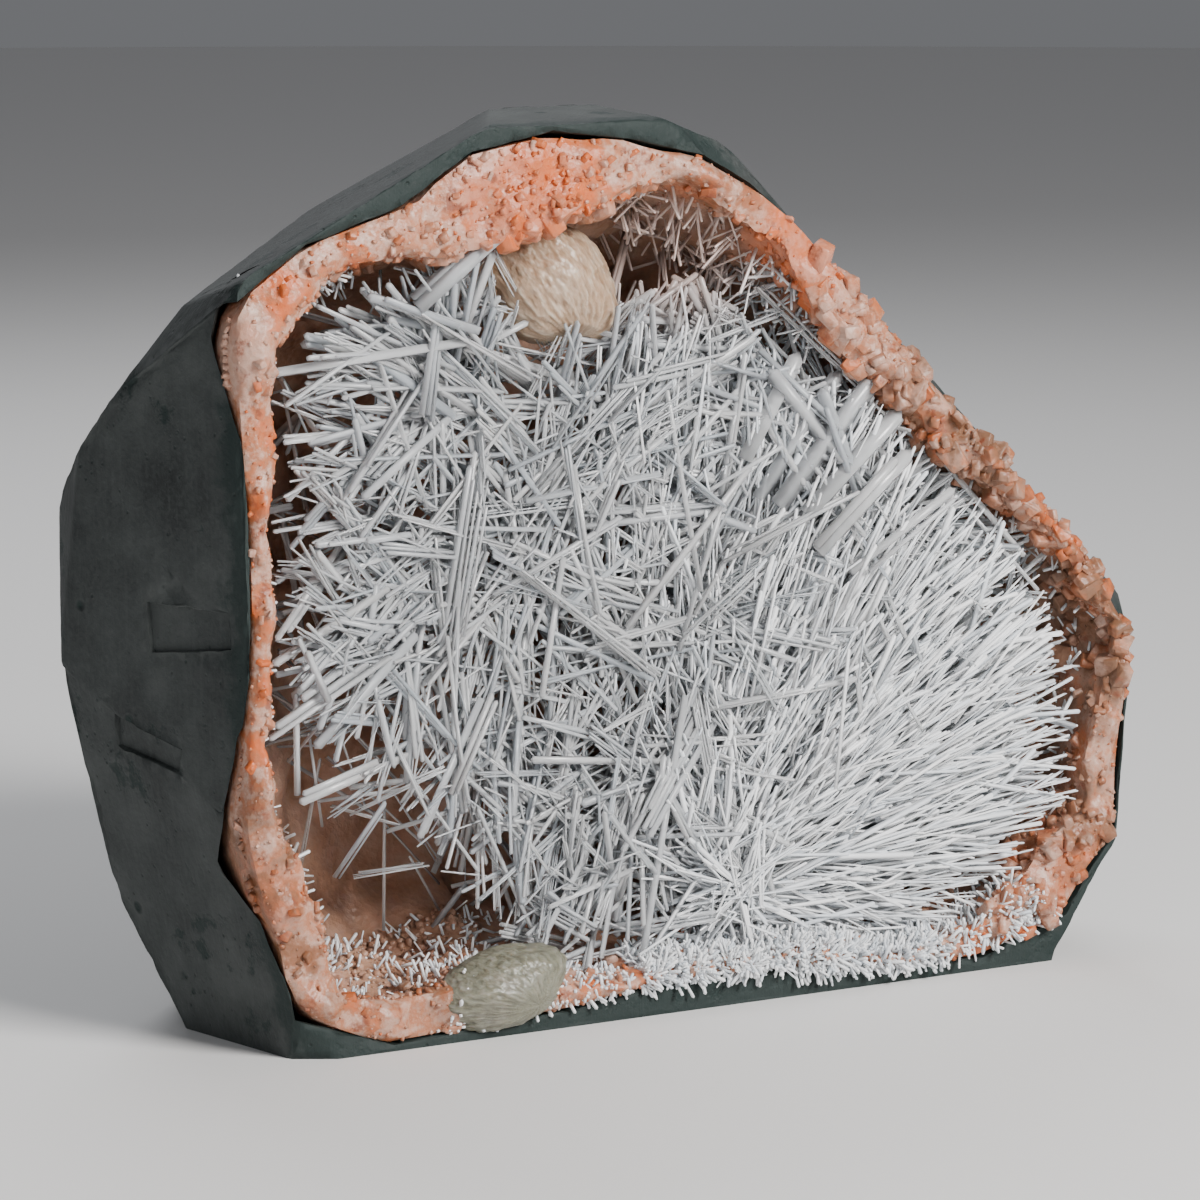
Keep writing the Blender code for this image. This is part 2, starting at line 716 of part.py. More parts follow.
def random_needle(chance):
    """A needle from a random place of the crust, or none where the fan thins out.

    Near the foot of the fan the needles spread away from its focus. Elsewhere they lie criss-cross.
    """
    angle = chance.uniform(0.0, 360.0)
    start = roots_start(angle)
    share = start + (1.0 - start) * chance.random() ** ROOTS_CROWDING
    root = crust_wall_point(angle, share, -ROOT_DEPTH)
    out = root - FAN_FOCUS
    out.y = 0.0
    if root.x > FAN_EDGE and out.length > FAN_REACH / 2.0 and chance.random() < FAN_THINNING:
        return None
    loose = Vector([chance.gauss(0.0, spread) for spread in LOOSENESS])
    if root.x > FAN_EDGE and out.length < FAN_REACH:
        lean = out.normalized() * FAN_SPREAD + Vector((0.0, FAN_LEAN, 0.0)) + loose * FAN_LOOSENESS
    else:
        lean = Vector((0.0, NET_LEAN, 0.0)) + loose * NET_LOOSENESS
    clear_from = ROOT_CLEAR
    if root.y < NEEDLE_MASS_REACH and share > NEEDLE_MASS_START:
        clear_from = NEEDLE_MASS_CLEAR
        lean += loose * NEEDLE_MASS_LOOSENESS
        lean.y = 0.0
        lean = lean.normalized() + Vector((0.0, -NEEDLE_MASS_LEAN, 0.0))
    inwards = crust_wall_point(angle, share, 2.0) - crust_wall_point(angle, share, -2.0)
    inwards.normalize()
    lean.normalize()
    lift = lean.dot(inwards)
    if lift < LEAST_LIFT:
        lean += inwards * (LEAST_LIFT - lift)
    length = chance.uniform(*NEEDLE_LENGTH)
    width = chance.uniform(*NEEDLE_WIDTH)
    return Needle(root, lean.normalized(), length, width, clear_from)


def shorten(needle):
    """The same needle, cut back so that its tip stays near the plane of the mouth."""
    if needle.direction.y >= 0.0:
        return needle
    room = (NEEDLE_MOUTH_LIMIT - needle.root.y) / needle.direction.y
    length = min(needle.length, room)
    return Needle(needle.root, needle.direction, length, needle.width, needle.clear_from)


def in_free_space(point, margin):
    """Whether a point lies in the room kept free in front of the needles."""
    least, greatest = FREE_SPACE
    return all(least[axis] - margin < point[axis] < greatest[axis] + margin for axis in range(3))


def is_clear(needle, trees):
    """Whether a needle stands clear of the crust past its root, and out of the free room."""
    if needle.length < NEEDLE_LENGTH[0] * LEAST_LENGTH_SHARE:
        return False
    half_diagonal = needle.width / math.sqrt(2.0)
    reach = needle.clear_from
    while reach < needle.length:
        point = needle.root + needle.direction * reach
        if in_free_space(point, needle.width):
            return False
        if any(tree.find_nearest(point)[3] < half_diagonal + NEEDLE_ROOM for tree in trees):
            return False
        reach += CHECK_STEP
    return not in_free_space(needle.root + needle.direction * needle.length, NEEDLE_ROOM)


def axis_distance(first, second):
    """Shortest distance between two needle axes, with the shares where it occurs."""
    a = first.direction
    b = second.direction
    gap = first.root - second.root
    mixed = a.dot(b)
    bottom = 1.0 - mixed * mixed
    if bottom < 1e-6:
        return (gap - a * gap.dot(a)).length, 0.5, 0.5
    along = (mixed * b.dot(gap) - a.dot(gap)) / bottom
    along = min(max(along, 0.0), first.length)
    other = (first.root + a * along - second.root).dot(b)
    other = min(max(other, 0.0), second.length)
    along = min(max((second.root + b * other - first.root).dot(a), 0.0), first.length)
    distance = (first.root + a * along - second.root - b * other).length
    return distance, along / first.length, other / second.length


def meets_well(needle, others):
    """Whether a needle passes its neighbours with room, or crosses them cleanly."""
    crossings = 0
    for other in others:
        if (needle.root - other.root).length > 2.0 * NEEDLE_LENGTH[1]:
            continue
        distance, along, beside = axis_distance(needle, other)
        both = 0.5 * (needle.width + other.width)
        if distance > both * PASSING_ROOM:
            continue
        steep = abs(needle.direction.dot(other.direction)) < CROSSING_COSINE
        clean = steep and distance < both * CROSSING_DEPTH and max(along, beside) < CROSSING_END
        if not clean or min(along * needle.length, beside * other.length) < ROOT_CLEAR:
            return False
        crossings += 1
    return crossings <= MOST_CROSSINGS


def choose_needles(trees):
    """Picks the needles one by one and keeps those that stand clear and meet well."""
    chance = random.Random(SEED + 2)
    needles = []
    for _ in range(NEEDLE_TRIES):
        if len(needles) == NEEDLES:
            break
        needle = random_needle(chance)
        if needle is None:
            continue
        needle = shorten(needle)
        if is_clear(needle, trees) and meets_well(needle, needles):
            needles.append(needle)
    return needles


def add_needle(mesh_data, needle, roll):
    """Adds one square prism with a slanted chisel tip."""
    half = needle.width / 2.0
    prism = bmesh.ops.create_cube(mesh_data, size=1.0)["verts"]
    for vertex in prism:
        at_tip = vertex.co.z > 0.0
        slant = vertex.co.x * needle.width * TIP_SLANT if at_tip else 0.0
        height = needle.length + slant - half * TIP_SLANT if at_tip else 0.0
        vertex.co = Vector((vertex.co.x * needle.width, vertex.co.y * needle.width, height))
    turned = needle.direction.to_track_quat("Z", "Y").to_matrix().to_4x4()
    matrix = Matrix.Translation(needle.root) @ turned @ Matrix.Rotation(roll, 4, "Z")
    bmesh.ops.transform(mesh_data, matrix=matrix, verts=prism)


def needle_prisms(trees):
    """All needles as separate prisms in one mesh."""
    chance = random.Random(SEED + 3)
    prisms = bmesh.new()
    for needle in choose_needles(trees):
        add_needle(prisms, needle, chance.uniform(0.0, math.pi / 2.0))
    return prisms


def stand_on_origin(pieces):
    """Moves the pieces so that the middle of their joint box's base is the origin."""
    corners = [vertex.co for piece in pieces for vertex in piece.data.vertices]
    least = [min(corner[axis] for corner in corners) for axis in range(3)]
    greatest = [max(corner[axis] for corner in corners) for axis in range(3)]
    shift = Vector((-(least[0] + greatest[0]) / 2.0, -(least[1] + greatest[1]) / 2.0, -least[2]))
    for piece in pieces:
        piece.location = shift


def main():
    """Builds the geode."""
    clear_scene()
    rock = make_rock()
    crust = make_crust(rock)
    stand_on_origin((rock, crust))


if __name__ == "__main__":
    main()
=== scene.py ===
"""Scolecite geode: the finished look of an open basalt nodule full of needle crystals.

Shapes are worked out in millimetres in the frame of the part and become metres as meshes. X runs to
the right along the open face, Y back into the rock, Z up. A depth is measured from the open face.
"""
import logging
import math
import random
from dataclasses import dataclass
from enum import Enum
from typing import Dict, List, Optional, Sequence, Tuple, Union

import bmesh
import bpy
import numpy as np
from mathutils import Matrix, Vector, noise
from mathutils.bvhtree import BVHTree


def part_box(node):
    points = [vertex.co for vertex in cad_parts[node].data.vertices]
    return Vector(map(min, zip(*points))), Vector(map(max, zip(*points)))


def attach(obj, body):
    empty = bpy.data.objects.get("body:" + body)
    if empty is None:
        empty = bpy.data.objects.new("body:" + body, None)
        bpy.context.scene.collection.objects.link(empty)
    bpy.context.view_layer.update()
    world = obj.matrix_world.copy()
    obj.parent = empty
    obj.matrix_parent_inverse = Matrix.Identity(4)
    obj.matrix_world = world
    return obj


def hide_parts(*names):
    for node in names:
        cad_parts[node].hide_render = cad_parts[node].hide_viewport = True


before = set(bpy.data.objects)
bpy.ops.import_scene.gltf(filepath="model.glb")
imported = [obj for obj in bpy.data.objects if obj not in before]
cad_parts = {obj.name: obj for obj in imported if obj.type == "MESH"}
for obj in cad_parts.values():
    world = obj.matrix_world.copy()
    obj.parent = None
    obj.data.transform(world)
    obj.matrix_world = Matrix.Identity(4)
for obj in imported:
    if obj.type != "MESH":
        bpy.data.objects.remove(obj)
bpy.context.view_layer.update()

MM = 0.001
ROCK = "basalt_shell"
CRUST = "crystal_crust"
BODY = "root"
LOG = logging.getLogger("geode")

Pair = Tuple[float, float]
Point = Tuple[float, float, float]

MOUTH_MIDDLE: Pair = (1.9, 62.0)
TIP_ROOM = 0.8


class Slot(Enum):
    """The material slots of the record."""

    BASALT = "basalt"
    HEULANDITE = "heulandite"
    SCOLECITE = "scolecite"
    STILBITE = "stilbite"


# Mesh helpers

def deselect_all() -> None:
    """Leaves no object selected or active, so that an operator acts on a new piece alone."""
    bpy.ops.object.select_all(action="DESELECT")
    bpy.context.view_layer.objects.active = None


def pick(item: bpy.types.Object) -> None:
    """Makes an object the only one that operators act on.

    Args:
        item: The object to select and make active.
    """
    deselect_all()
    item.select_set(True)
    bpy.context.view_layer.objects.active = item


def mesh_arrays(mesh: bpy.types.Mesh) -> Tuple[np.ndarray, np.ndarray]:
    """Reads the points and the edges of a mesh.

    Args:
        mesh: The mesh to read.

    Returns:
        The points in millimetres, and the two point numbers of each edge.
    """
    points = np.empty(len(mesh.vertices) * 3)
    mesh.vertices.foreach_get("co", points)
    edges = np.empty(len(mesh.edges) * 2, dtype=int)
    mesh.edges.foreach_get("vertices", edges)
    return points.reshape(-1, 3) / MM, edges.reshape(-1, 2)


def write_points(mesh: bpy.types.Mesh, points: np.ndarray) -> None:
    """Moves the points of a mesh."""
    mesh.vertices.foreach_set("co", (points * MM).astype(np.float32).ravel())
    mesh.update()


def put_in_scene(name: str, data: bpy.types.ID) -> bpy.types.Object:
    """Adds an object at the origin.

    Args:
        name: The object's name.
        data: Its mesh, light or camera.

    Returns:
        The new object.
    """
    item = bpy.data.objects.new(name, data)
    bpy.context.scene.collection.objects.link(item)
    return item


def unit_ball(name: str, segments: int, rings: int) -> Tuple[bpy.types.Object, np.ndarray]:
    """Makes a ball that is going to be shaped.

    Args:
        name: The object's name.
        segments: How many faces it has round.
        rings: How many from pole to pole.

    Returns:
        The object, and its points for a radius of 1.
    """
    deselect_all()
    bpy.ops.mesh.primitive_uv_sphere_add(segments=segments, ring_count=rings, radius=1.0)
    ball = bpy.context.object
    ball.name = name
    return ball, mesh_arrays(ball.data)[0] * MM


def store(mesh: bpy.types.Mesh, name: str, values: np.ndarray) -> None:
    """Stores a number for each point, which the material reads."""
    stored = mesh.attributes.new(name, "FLOAT", "POINT")
    stored.data.foreach_set("value", values.astype(np.float32))


def tree_of(item: bpy.types.Object) -> BVHTree:
    """Builds a search tree over a mesh.

    Args:
        item: The object, which sits at the origin.

    Returns:
        The tree, in millimetres.
    """
    points, _ = mesh_arrays(item.data)
    faces = [tuple(face.vertices) for face in item.data.polygons]
    return BVHTree.FromPolygons([Vector(point) for point in points], faces)


def place_in_part(item: bpy.types.Object, slot: Slot, material: bpy.types.Material, *nodes: str) -> None:
    """Gives a finished piece its material and body, and hides the nodes of the part that it stands for.

    Args:
        item: The piece, at the origin.
        slot: Not used.
        material: Its material.
        nodes: The nodes of the part that it replaces.
    """
    item.data.materials.clear()
    item.data.materials.append(material)
    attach(item, BODY)
    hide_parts(*nodes)
    LOG.info("%s: %d faces", item.name, len(item.data.polygons))


def smooth_step(low: float, high: float, value: float) -> float:
    """Blends from 0 at low to 1 at high with soft ends."""
    share = min(max((value - low) / (high - low), 0.0), 1.0)
    return share * share * (3.0 - 2.0 * share)


def bump_sum(angle: float, bumps: Sequence[Tuple[float, float, float]]) -> float:
    """Adds up bell-shaped bumps at an angle.

    Args:
        angle: The angle in degrees.
        bumps: Each bump's middle, half width and height.

    Returns:
        The sum of their heights there.
    """
    total = 0.0
    for middle, half_width, height in bumps:
        away = (angle - middle + 180.0) % 360.0 - 180.0
        total += height * math.exp(-((away / half_width) ** 2))
    return total


def cell_height(point: Vector, size: float, slope: float) -> float:
    """Gives the height of a pattern of flat cells."""
    near, _ = noise.voronoi(point / size)
    return min((near[1] - near[0]) * slope, 1.0)


def draw(chance: random.Random, pair: Pair, power: float = 1.0) -> float:
    """Draws a number in a range, nearer its start where the power is over 1."""
    return pair[0] + (pair[1] - pair[0]) * chance.random() ** power


def jitter(chance: random.Random, spread: float) -> Vector:
    """Draws a small random offset."""
    return Vector([chance.gauss(0.0, spread) for _ in range(3)])


# Shader helpers

Value = Union["Wire", float]


@dataclass(frozen=True)
class Wire:
    """A number or colour that a socket gives out. Arithmetic on it adds Math nodes."""

    bench: "Bench"
    socket: bpy.types.NodeSocket

    def math(self, operation: str, first: Value, second: Value) -> "Wire":
        """Adds one Math node and gives its result."""
        return self.bench.add("ShaderNodeMath", {"operation": operation}, {0: first, 1: second})

    def __add__(self, other: Value) -> "Wire":
        """Gives self + other."""
        return self.math("ADD", self, other)

    def __radd__(self, other: Value) -> "Wire":
        """Gives other + self."""
        return self.math("ADD", other, self)

    def __sub__(self, other: Value) -> "Wire":
        """Gives self - other."""
        return self.math("SUBTRACT", self, other)

    def __mul__(self, other: Value) -> "Wire":
        """Gives self * other."""
        return self.math("MULTIPLY", self, other)

    def __pow__(self, other: Value) -> "Wire":
        """Gives self ** other."""
        return self.math("POWER", self, other)

    def between(self, low: float, high: float, start: float = 0.0, end: float = 1.0) -> "Wire":
        """Maps low to high softly onto start to end."""
        settings = {"interpolation_type": "SMOOTHSTEP"}
        return self.bench.add("ShaderNodeMapRange", settings, {0: self, 1: low, 2: high, 3: start, 4: end})


class Bench:
    """Builds the nodes of one material."""

    def __init__(self, name: str) -> None:
        """Makes an empty Principled material.

        Args:
            name: The material's name.
        """
        self.material = bpy.data.materials.new(name)
        self.material.use_nodes = True
        self.tree = self.material.node_tree
        self.shader = self.tree.nodes["Principled BSDF"]
        self.place = self.add("ShaderNodeTexCoord", {}, {}, "Object")

    def add(self, kind: str, settings: Dict, inputs: Dict, output: Union[int, str] = 0) -> Wire:
        """Adds a node.

        Args:
            kind: The node's type.
            settings: Properties to set first. A list under "stops" fills a colour ramp.
            inputs: A value, colour or Wire for each socket, by name or number.
            output: The socket to read.

        Returns:
            The output as a Wire.
        """
        node = self.tree.nodes.new(kind)
        for name, value in settings.items():
            if name == "stops":
                self.fill_ramp(node.color_ramp, value)
            else:
                setattr(node, name, value)
        for key, value in inputs.items():
            self.feed(node.inputs[key], value)
        return Wire(self, node.outputs[output])

    def feed(self, socket: bpy.types.NodeSocket, value: object) -> None:
        """Links or sets one socket.

        Args:
            socket: The socket to fill.
            value: A Wire to link, or the value to set.
        """
        if isinstance(value, Wire):
            self.tree.links.new(value.socket, socket)
        else:
            socket.default_value = value

    @staticmethod
    def fill_ramp(ramp: bpy.types.ColorRamp, stops: Sequence[Tuple[float, Point]]) -> None:
        """Writes the stops of a colour ramp.

        Args:
            ramp: The ramp of a new node, which has two stops.
            stops: Each stop's position and colour.
        """
        for _ in stops[2:]:
            ramp.elements.new(0.5)
        for element, (position, colour) in zip(ramp.elements, stops):
            element.position = position
            element.color = (*colour, 1.0)

    def noise(
        self, size: float, detail: float = 3.0, rough: float = 0.55, place: Optional[Wire] = None,
    ) -> Wire:
        """Adds fractal noise.

        Args:
            size: The size of its lumps in millimetres.
            detail: The number of finer layers.
            rough: How strong the finer layers are.
            place: The coordinates, or none for the object's own.

        Returns:
            The noise, from 0 to 1.
        """
        inputs = {"Vector": place or self.place, "Scale": 1.0 / (size * MM)}
        inputs.update({"Detail": detail, "Roughness": rough})
        return self.add("ShaderNodeTexNoise", {}, inputs)

    def cells(self, size: float) -> Wire:
        """Gives the distance from the middles of cells of a size in millimetres."""
        inputs = {"Vector": self.place, "Scale": 1.0 / (size * MM)}
        return self.add("ShaderNodeTexVoronoi", {"feature": "F1"}, inputs, "Distance")

    def stretched(self, turn: Point, sizes: Point) -> Wire:
        """Turns and stretches the object's coordinates."""
        angles = tuple(math.radians(angle) for angle in turn)
        return self.add("ShaderNodeMapping", {}, {"Vector": self.place, "Rotation": angles, "Scale": sizes})

    def axis(self, name: str) -> Wire:
        """Gives one coordinate of the object, in millimetres."""
        return self.add("ShaderNodeSeparateXYZ", {}, {0: self.place}, name) * (1.0 / MM)

    def near(self, middle: Point, inner: float, outer: float) -> Wire:
        """Marks the room round a point.

        Args:
            middle: The point, in millimetres.
            inner: Up to this distance the mark is 1.
            outer: From this distance on it is 0.

        Returns:
            The mark, from 0 to 1.
        """
        point = tuple(value * MM for value in middle)
        inputs = {0: self.place, 1: point}
        distance = self.add("ShaderNodeVectorMath", {"operation": "DISTANCE"}, inputs, "Value")
        return distance.between(inner * MM, outer * MM, 1.0, 0.0)

    def attribute(self, name: str) -> Wire:
        """Reads a number that is stored on the mesh."""
        return self.add("ShaderNodeAttribute", {"attribute_name": name}, {}, "Fac")

    def blend(self, share: Value, first: object, second: object) -> Wire:
        """Mixes two colours.

        Args:
            share: How much of the second colour to take.
            first: A colour or a Wire.
            second: A colour or a Wire.

        Returns:
            The mixed colour.
        """
        colours = [value if isinstance(value, Wire) else (*value, 1.0) for value in (first, second)]
        inputs = {0: share, 6: colours[0], 7: colours[1]}
        return self.add("ShaderNodeMix", {"data_type": "RGBA"}, inputs, 2)

    def ramp(self, value: Wire, stops: Sequence[Tuple[float, Point]]) -> Wire:
        """Turns a number into a colour by a ramp of stops."""
        return self.add("ShaderNodeValToRGB", {"stops": stops}, {0: value})

    def bump(self, height: Wire, strength: float, depth: float) -> None:
        """Feeds the shader's normal with a bump."""
        inputs = {"Strength": strength, "Distance": depth * MM, "Height": height}
        self.feed(self.shader.inputs["Normal"], self.add("ShaderNodeBump", {}, inputs))

    def dress(self, **values: object) -> None:
        """Sets or links sockets of the shader, with underscores for the spaces in their names."""
        for name, value in values.items():
            self.feed(self.shader.inputs[name.replace("_", " ")], value)


# Finishes

@dataclass(frozen=True)
class BasaltFinish:
    """Dark grey-green basalt, ground flat, with pits, streaks and a blackish green edge zone."""

    dark: Point = (0.010, 0.013, 0.013)
    mid: Point = (0.034, 0.040, 0.039)
    light: Point = (0.072, 0.080, 0.077)
    green: Point = (0.006, 0.017, 0.015)
    mottle_size: float = 15.0
    grain_size: float = 0.9
    pit_size: float = 7.5
    edge_zone: float = 4.0

    def make(self, mouth: float) -> bpy.types.Material:
        """Builds the material.

        Args:
            mouth: The Y of the open face, in millimetres.

        Returns:
            The finished material.
        """
        bench = Bench("ground basalt")
        mottle = bench.noise(self.mottle_size, 6.0, 0.62)
        grain = bench.noise(self.grain_size, 3.0, 0.6)
        streak_place = bench.stretched((0.0, 38.0, 0.0), (1.0, 1.0, 0.045))
        streaks = bench.noise(0.8, 2.0, 0.5, streak_place)
        pits = bench.cells(self.pit_size).between(0.05, 0.16, 1.0, 0.0)
        pits = pits * bench.noise(26.0, 1.0).between(0.44, 0.58)
        fine_pits = bench.cells(1.7).between(0.05, 0.22, 1.0, 0.0) * bench.noise(6.0, 1.0).between(0.46, 0.62)
        patches = bench.noise(11.0, 5.0, 0.7).between(0.57, 0.66)
        depth = bench.axis("Y") - mouth + (bench.noise(5.0, 4.0, 0.65) - 0.5) * 12.0
        edge = depth.between(self.edge_zone * 0.4, self.edge_zone * 1.3, 1.0, 0.0)
        colour = bench.ramp(mottle, [(0.3, self.dark), (0.52, self.mid), (0.75, self.light)])
        colour = bench.blend(grain.between(0.35, 0.75) * 0.35, colour, self.light)
        colour = bench.blend(streaks.between(0.45, 0.8) * 0.22, colour, self.light)
        dark_marks = (patches * 0.75 + pits + fine_pits * 0.6).between(0.0, 1.0)
        colour = bench.blend(dark_marks, colour, self.green)
        colour = bench.blend(edge * 0.85, colour, self.green)
        rough = 0.52 + grain * 0.22 + mottle * 0.12
        bench.dress(Base_Color=colour, Roughness=rough, Specular_IOR_Level=0.42)
        height = grain * 0.28 + streaks * 0.22 + mottle * 0.2 - pits * 0.9 - fine_pits * 0.3 - patches * 0.2
        bench.bump(height, 0.9, 0.55)
        return bench.material


@dataclass(frozen=True)
class Stain:
    """A place of the crust with a colour of its own: its middle, its reach and its strength."""

    middle: Point
    reach: float
    strength: float


@dataclass(frozen=True)
class HeulanditeFinish:
    """Peach, salmon and white crystals, brown and see-through deeper in the hollow, where the brown is partly
    the crust's own colour and partly painted shade.
    """

    white: Point = (0.54, 0.34, 0.26)
    peach: Point = (0.44, 0.16, 0.075)
    orange: Point = (0.60, 0.13, 0.03)
    red: Point = (0.22, 0.05, 0.02)
    stain_brown: Point = (0.20, 0.095, 0.05)
    brown: Point = (0.44, 0.25, 0.165)
    dark_brown_and_shade: Point = (0.17, 0.08, 0.05)
    orange_stains: Tuple[Stain, ...] = (
        Stain((-28.0, -34.0, 124.0), 17.0, 0.75),
        Stain((20.0, -34.0, 114.0), 14.0, 0.6),
        Stain((31.0, -29.0, 96.0), 7.0, 0.9),
        Stain((68.0, -36.0, 12.0), 9.0, 0.8),
        Stain((-70.0, -36.0, 25.0), 9.0, 0.5),
    )
    brown_stains: Tuple[Stain, ...] = (
        Stain((48.0, -32.0, 84.0), 26.0, 0.6),
        Stain((76.0, -33.0, 52.0), 24.0, 0.62),
        Stain((74.0, -33.0, 20.0), 18.0, 0.5),
        Stain((-68.0, -34.0, 22.0), 24.0, 0.55),
        Stain((6.0, -30.0, 122.0), 14.0, 0.6),
        Stain((-40.0, -24.0, 14.0), 24.0, 0.6),
    )
    white_stains: Tuple[Stain, ...] = (
        Stain((-36.0, -38.0, 130.5), 8.0, 0.8),
        Stain((-73.0, -37.0, 102.0), 8.0, 0.7),
        Stain((68.0, -36.0, 50.0), 5.0, 0.7),
        Stain((77.0, -36.0, 26.0), 5.0, 0.5),
    )
    deep_start: float = 4.0
    deep_end: float = 15.0

    def make(self, name: str, mouth: float, tinted: bool) -> bpy.types.Material:
        """Builds the material.

        Args:
            name: The material's name.
            mouth: The Y of the open face, in millimetres.
            tinted: Whether the mesh stores a tint for each crystal.

        Returns:
            The finished material.
        """
        bench = Bench(name)
        tone = bench.noise(9.0, 6.0, 0.66)
        if tinted:
            tone = tone * 0.74 + bench.attribute("tint") * 0.26
        white, peach = self.white, self.peach
        stops = [(0.33, white), (0.42, peach), (0.49, white), (0.55, peach), (0.64, self.orange)]
        colour = bench.ramp(tone, stops)
        for stain in self.orange_stains:
            mark = bench.near(stain.middle, stain.reach * 0.35, stain.reach) * tone.between(0.3, 0.5)
            colour = bench.blend(mark * stain.strength, colour, self.orange)
        patchy = bench.noise(4.5, 4.0, 0.6).between(0.36, 0.6)
        for stain in self.brown_stains:
            mark = bench.near(stain.middle, stain.reach * 0.4, stain.reach) * patchy
            colour = bench.blend(mark * stain.strength * 1.6, colour, self.stain_brown)
        for stain in self.white_stains:
            mark = bench.near(stain.middle, stain.reach * 0.35, stain.reach)
            colour = bench.blend(mark * stain.strength, colour, self.white)
        veins = bench.noise(3.6, 4.0, 0.65).between(0.57, 0.68)
        colour = bench.blend(veins * 0.75, colour, self.red)
        # Deeper in the hollow the colour turns to browns: partly the crust's own colour, partly painted shade
        # that darkens it with depth.
        shifted = bench.axis("Y") - mouth + (bench.noise(9.0, 3.0, 0.6) - 0.5) * 9.0
        deep = shifted.between(self.deep_start, self.deep_end)
        below = bench.noise(12.0, 4.0, 0.6)
        inner = bench.ramp(below, [(0.34, self.dark_brown_and_shade), (0.48, self.brown), (0.64, self.white)])
        colour = bench.blend(deep * 0.86, colour, inner)
        grain = bench.noise(0.55, 2.0, 0.6)
        cells = bench.cells(1.1)
        bench.dress(
            Base_Color=colour,
            Roughness=0.26 + grain * 0.3,
            Subsurface_Weight=0.0 if tinted else 0.2,
            Subsurface_Radius=(1.0, 0.45, 0.25),
            Subsurface_Scale=0.0025,
            IOR=1.5,
        )
        bench.bump(cells * 0.55 + grain * 0.35, 0.75, 0.35)
        return bench.material


@dataclass(frozen=True)
class ScoleciteFinish:
    """Clear to milky needles with a glassy skin."""

    milky: Point = (0.96, 0.96, 0.96)
    cool: Point = (0.60, 0.66, 0.72)
    rosy: Point = (0.74, 0.50, 0.40)
    rosy_middle: Point = (4.0, -24.0, 116.0)
    transmission: float = 0.55
    roughness: float = 0.14

    def make(self, name: str) -> bpy.types.Material:
        """Builds the material.

        Args:
            name: The material's name.

        Returns:
            The finished material.
        """
        bench = Bench(name)
        tint = bench.attribute("tint")
        cloud = bench.noise(6.0, 3.0, 0.6)
        colour = bench.blend(tint ** 1.6 * 0.8 + cloud * 0.15, self.milky, self.cool)
        colour = bench.blend(bench.near(self.rosy_middle, 9.0, 21.0) * 0.7, colour, self.rosy)
        bench.dress(
            Base_Color=colour,
            Roughness=self.roughness + tint * 0.18,
            Transmission_Weight=self.transmission,
            IOR=1.52,
        )
        return bench.material


@dataclass(frozen=True)
class StilbiteFinish:
    """Cream fibres, silky and partly see-through."""

    cream: Point = (0.58, 0.40, 0.27)
    pale: Point = (0.80, 0.69, 0.57)
    shade: Point = (0.34, 0.20, 0.11)
    green: Point = (0.30, 0.31, 0.22)

    def make(self, name: str, greenish: float) -> bpy.types.Material:
        """Builds the material.

        Args:
            name: The material's name.
            greenish: How much green the cream takes.

        Returns:
            The finished material.
        """
        bench = Bench(name)
        fibre = bench.attribute("fibre")
        cloud = bench.noise(5.0, 4.0, 0.6)
        base = bench.blend(greenish, self.cream, self.green)
        colour = bench.blend(fibre.between(0.15, 0.6, 1.0, 0.0) * 0.6, base, self.shade)
        colour = bench.blend(fibre.between(0.5, 0.95) * 0.7, colour, self.pale)
        colour = bench.blend(cloud.between(0.5, 0.75) * 0.4, colour, self.pale)
        bench.dress(
            Base_Color=colour,
            Roughness=0.24 + cloud * 0.2,
            Transmission_Weight=0.3,
            Subsurface_Weight=0.35,
            Subsurface_Radius=(1.0, 0.7, 0.45),
            Subsurface_Scale=0.003,
            IOR=1.5,
        )
        bench.bump(bench.noise(0.7, 3.0, 0.6), 0.5, 0.15)
        return bench.material


# The rock

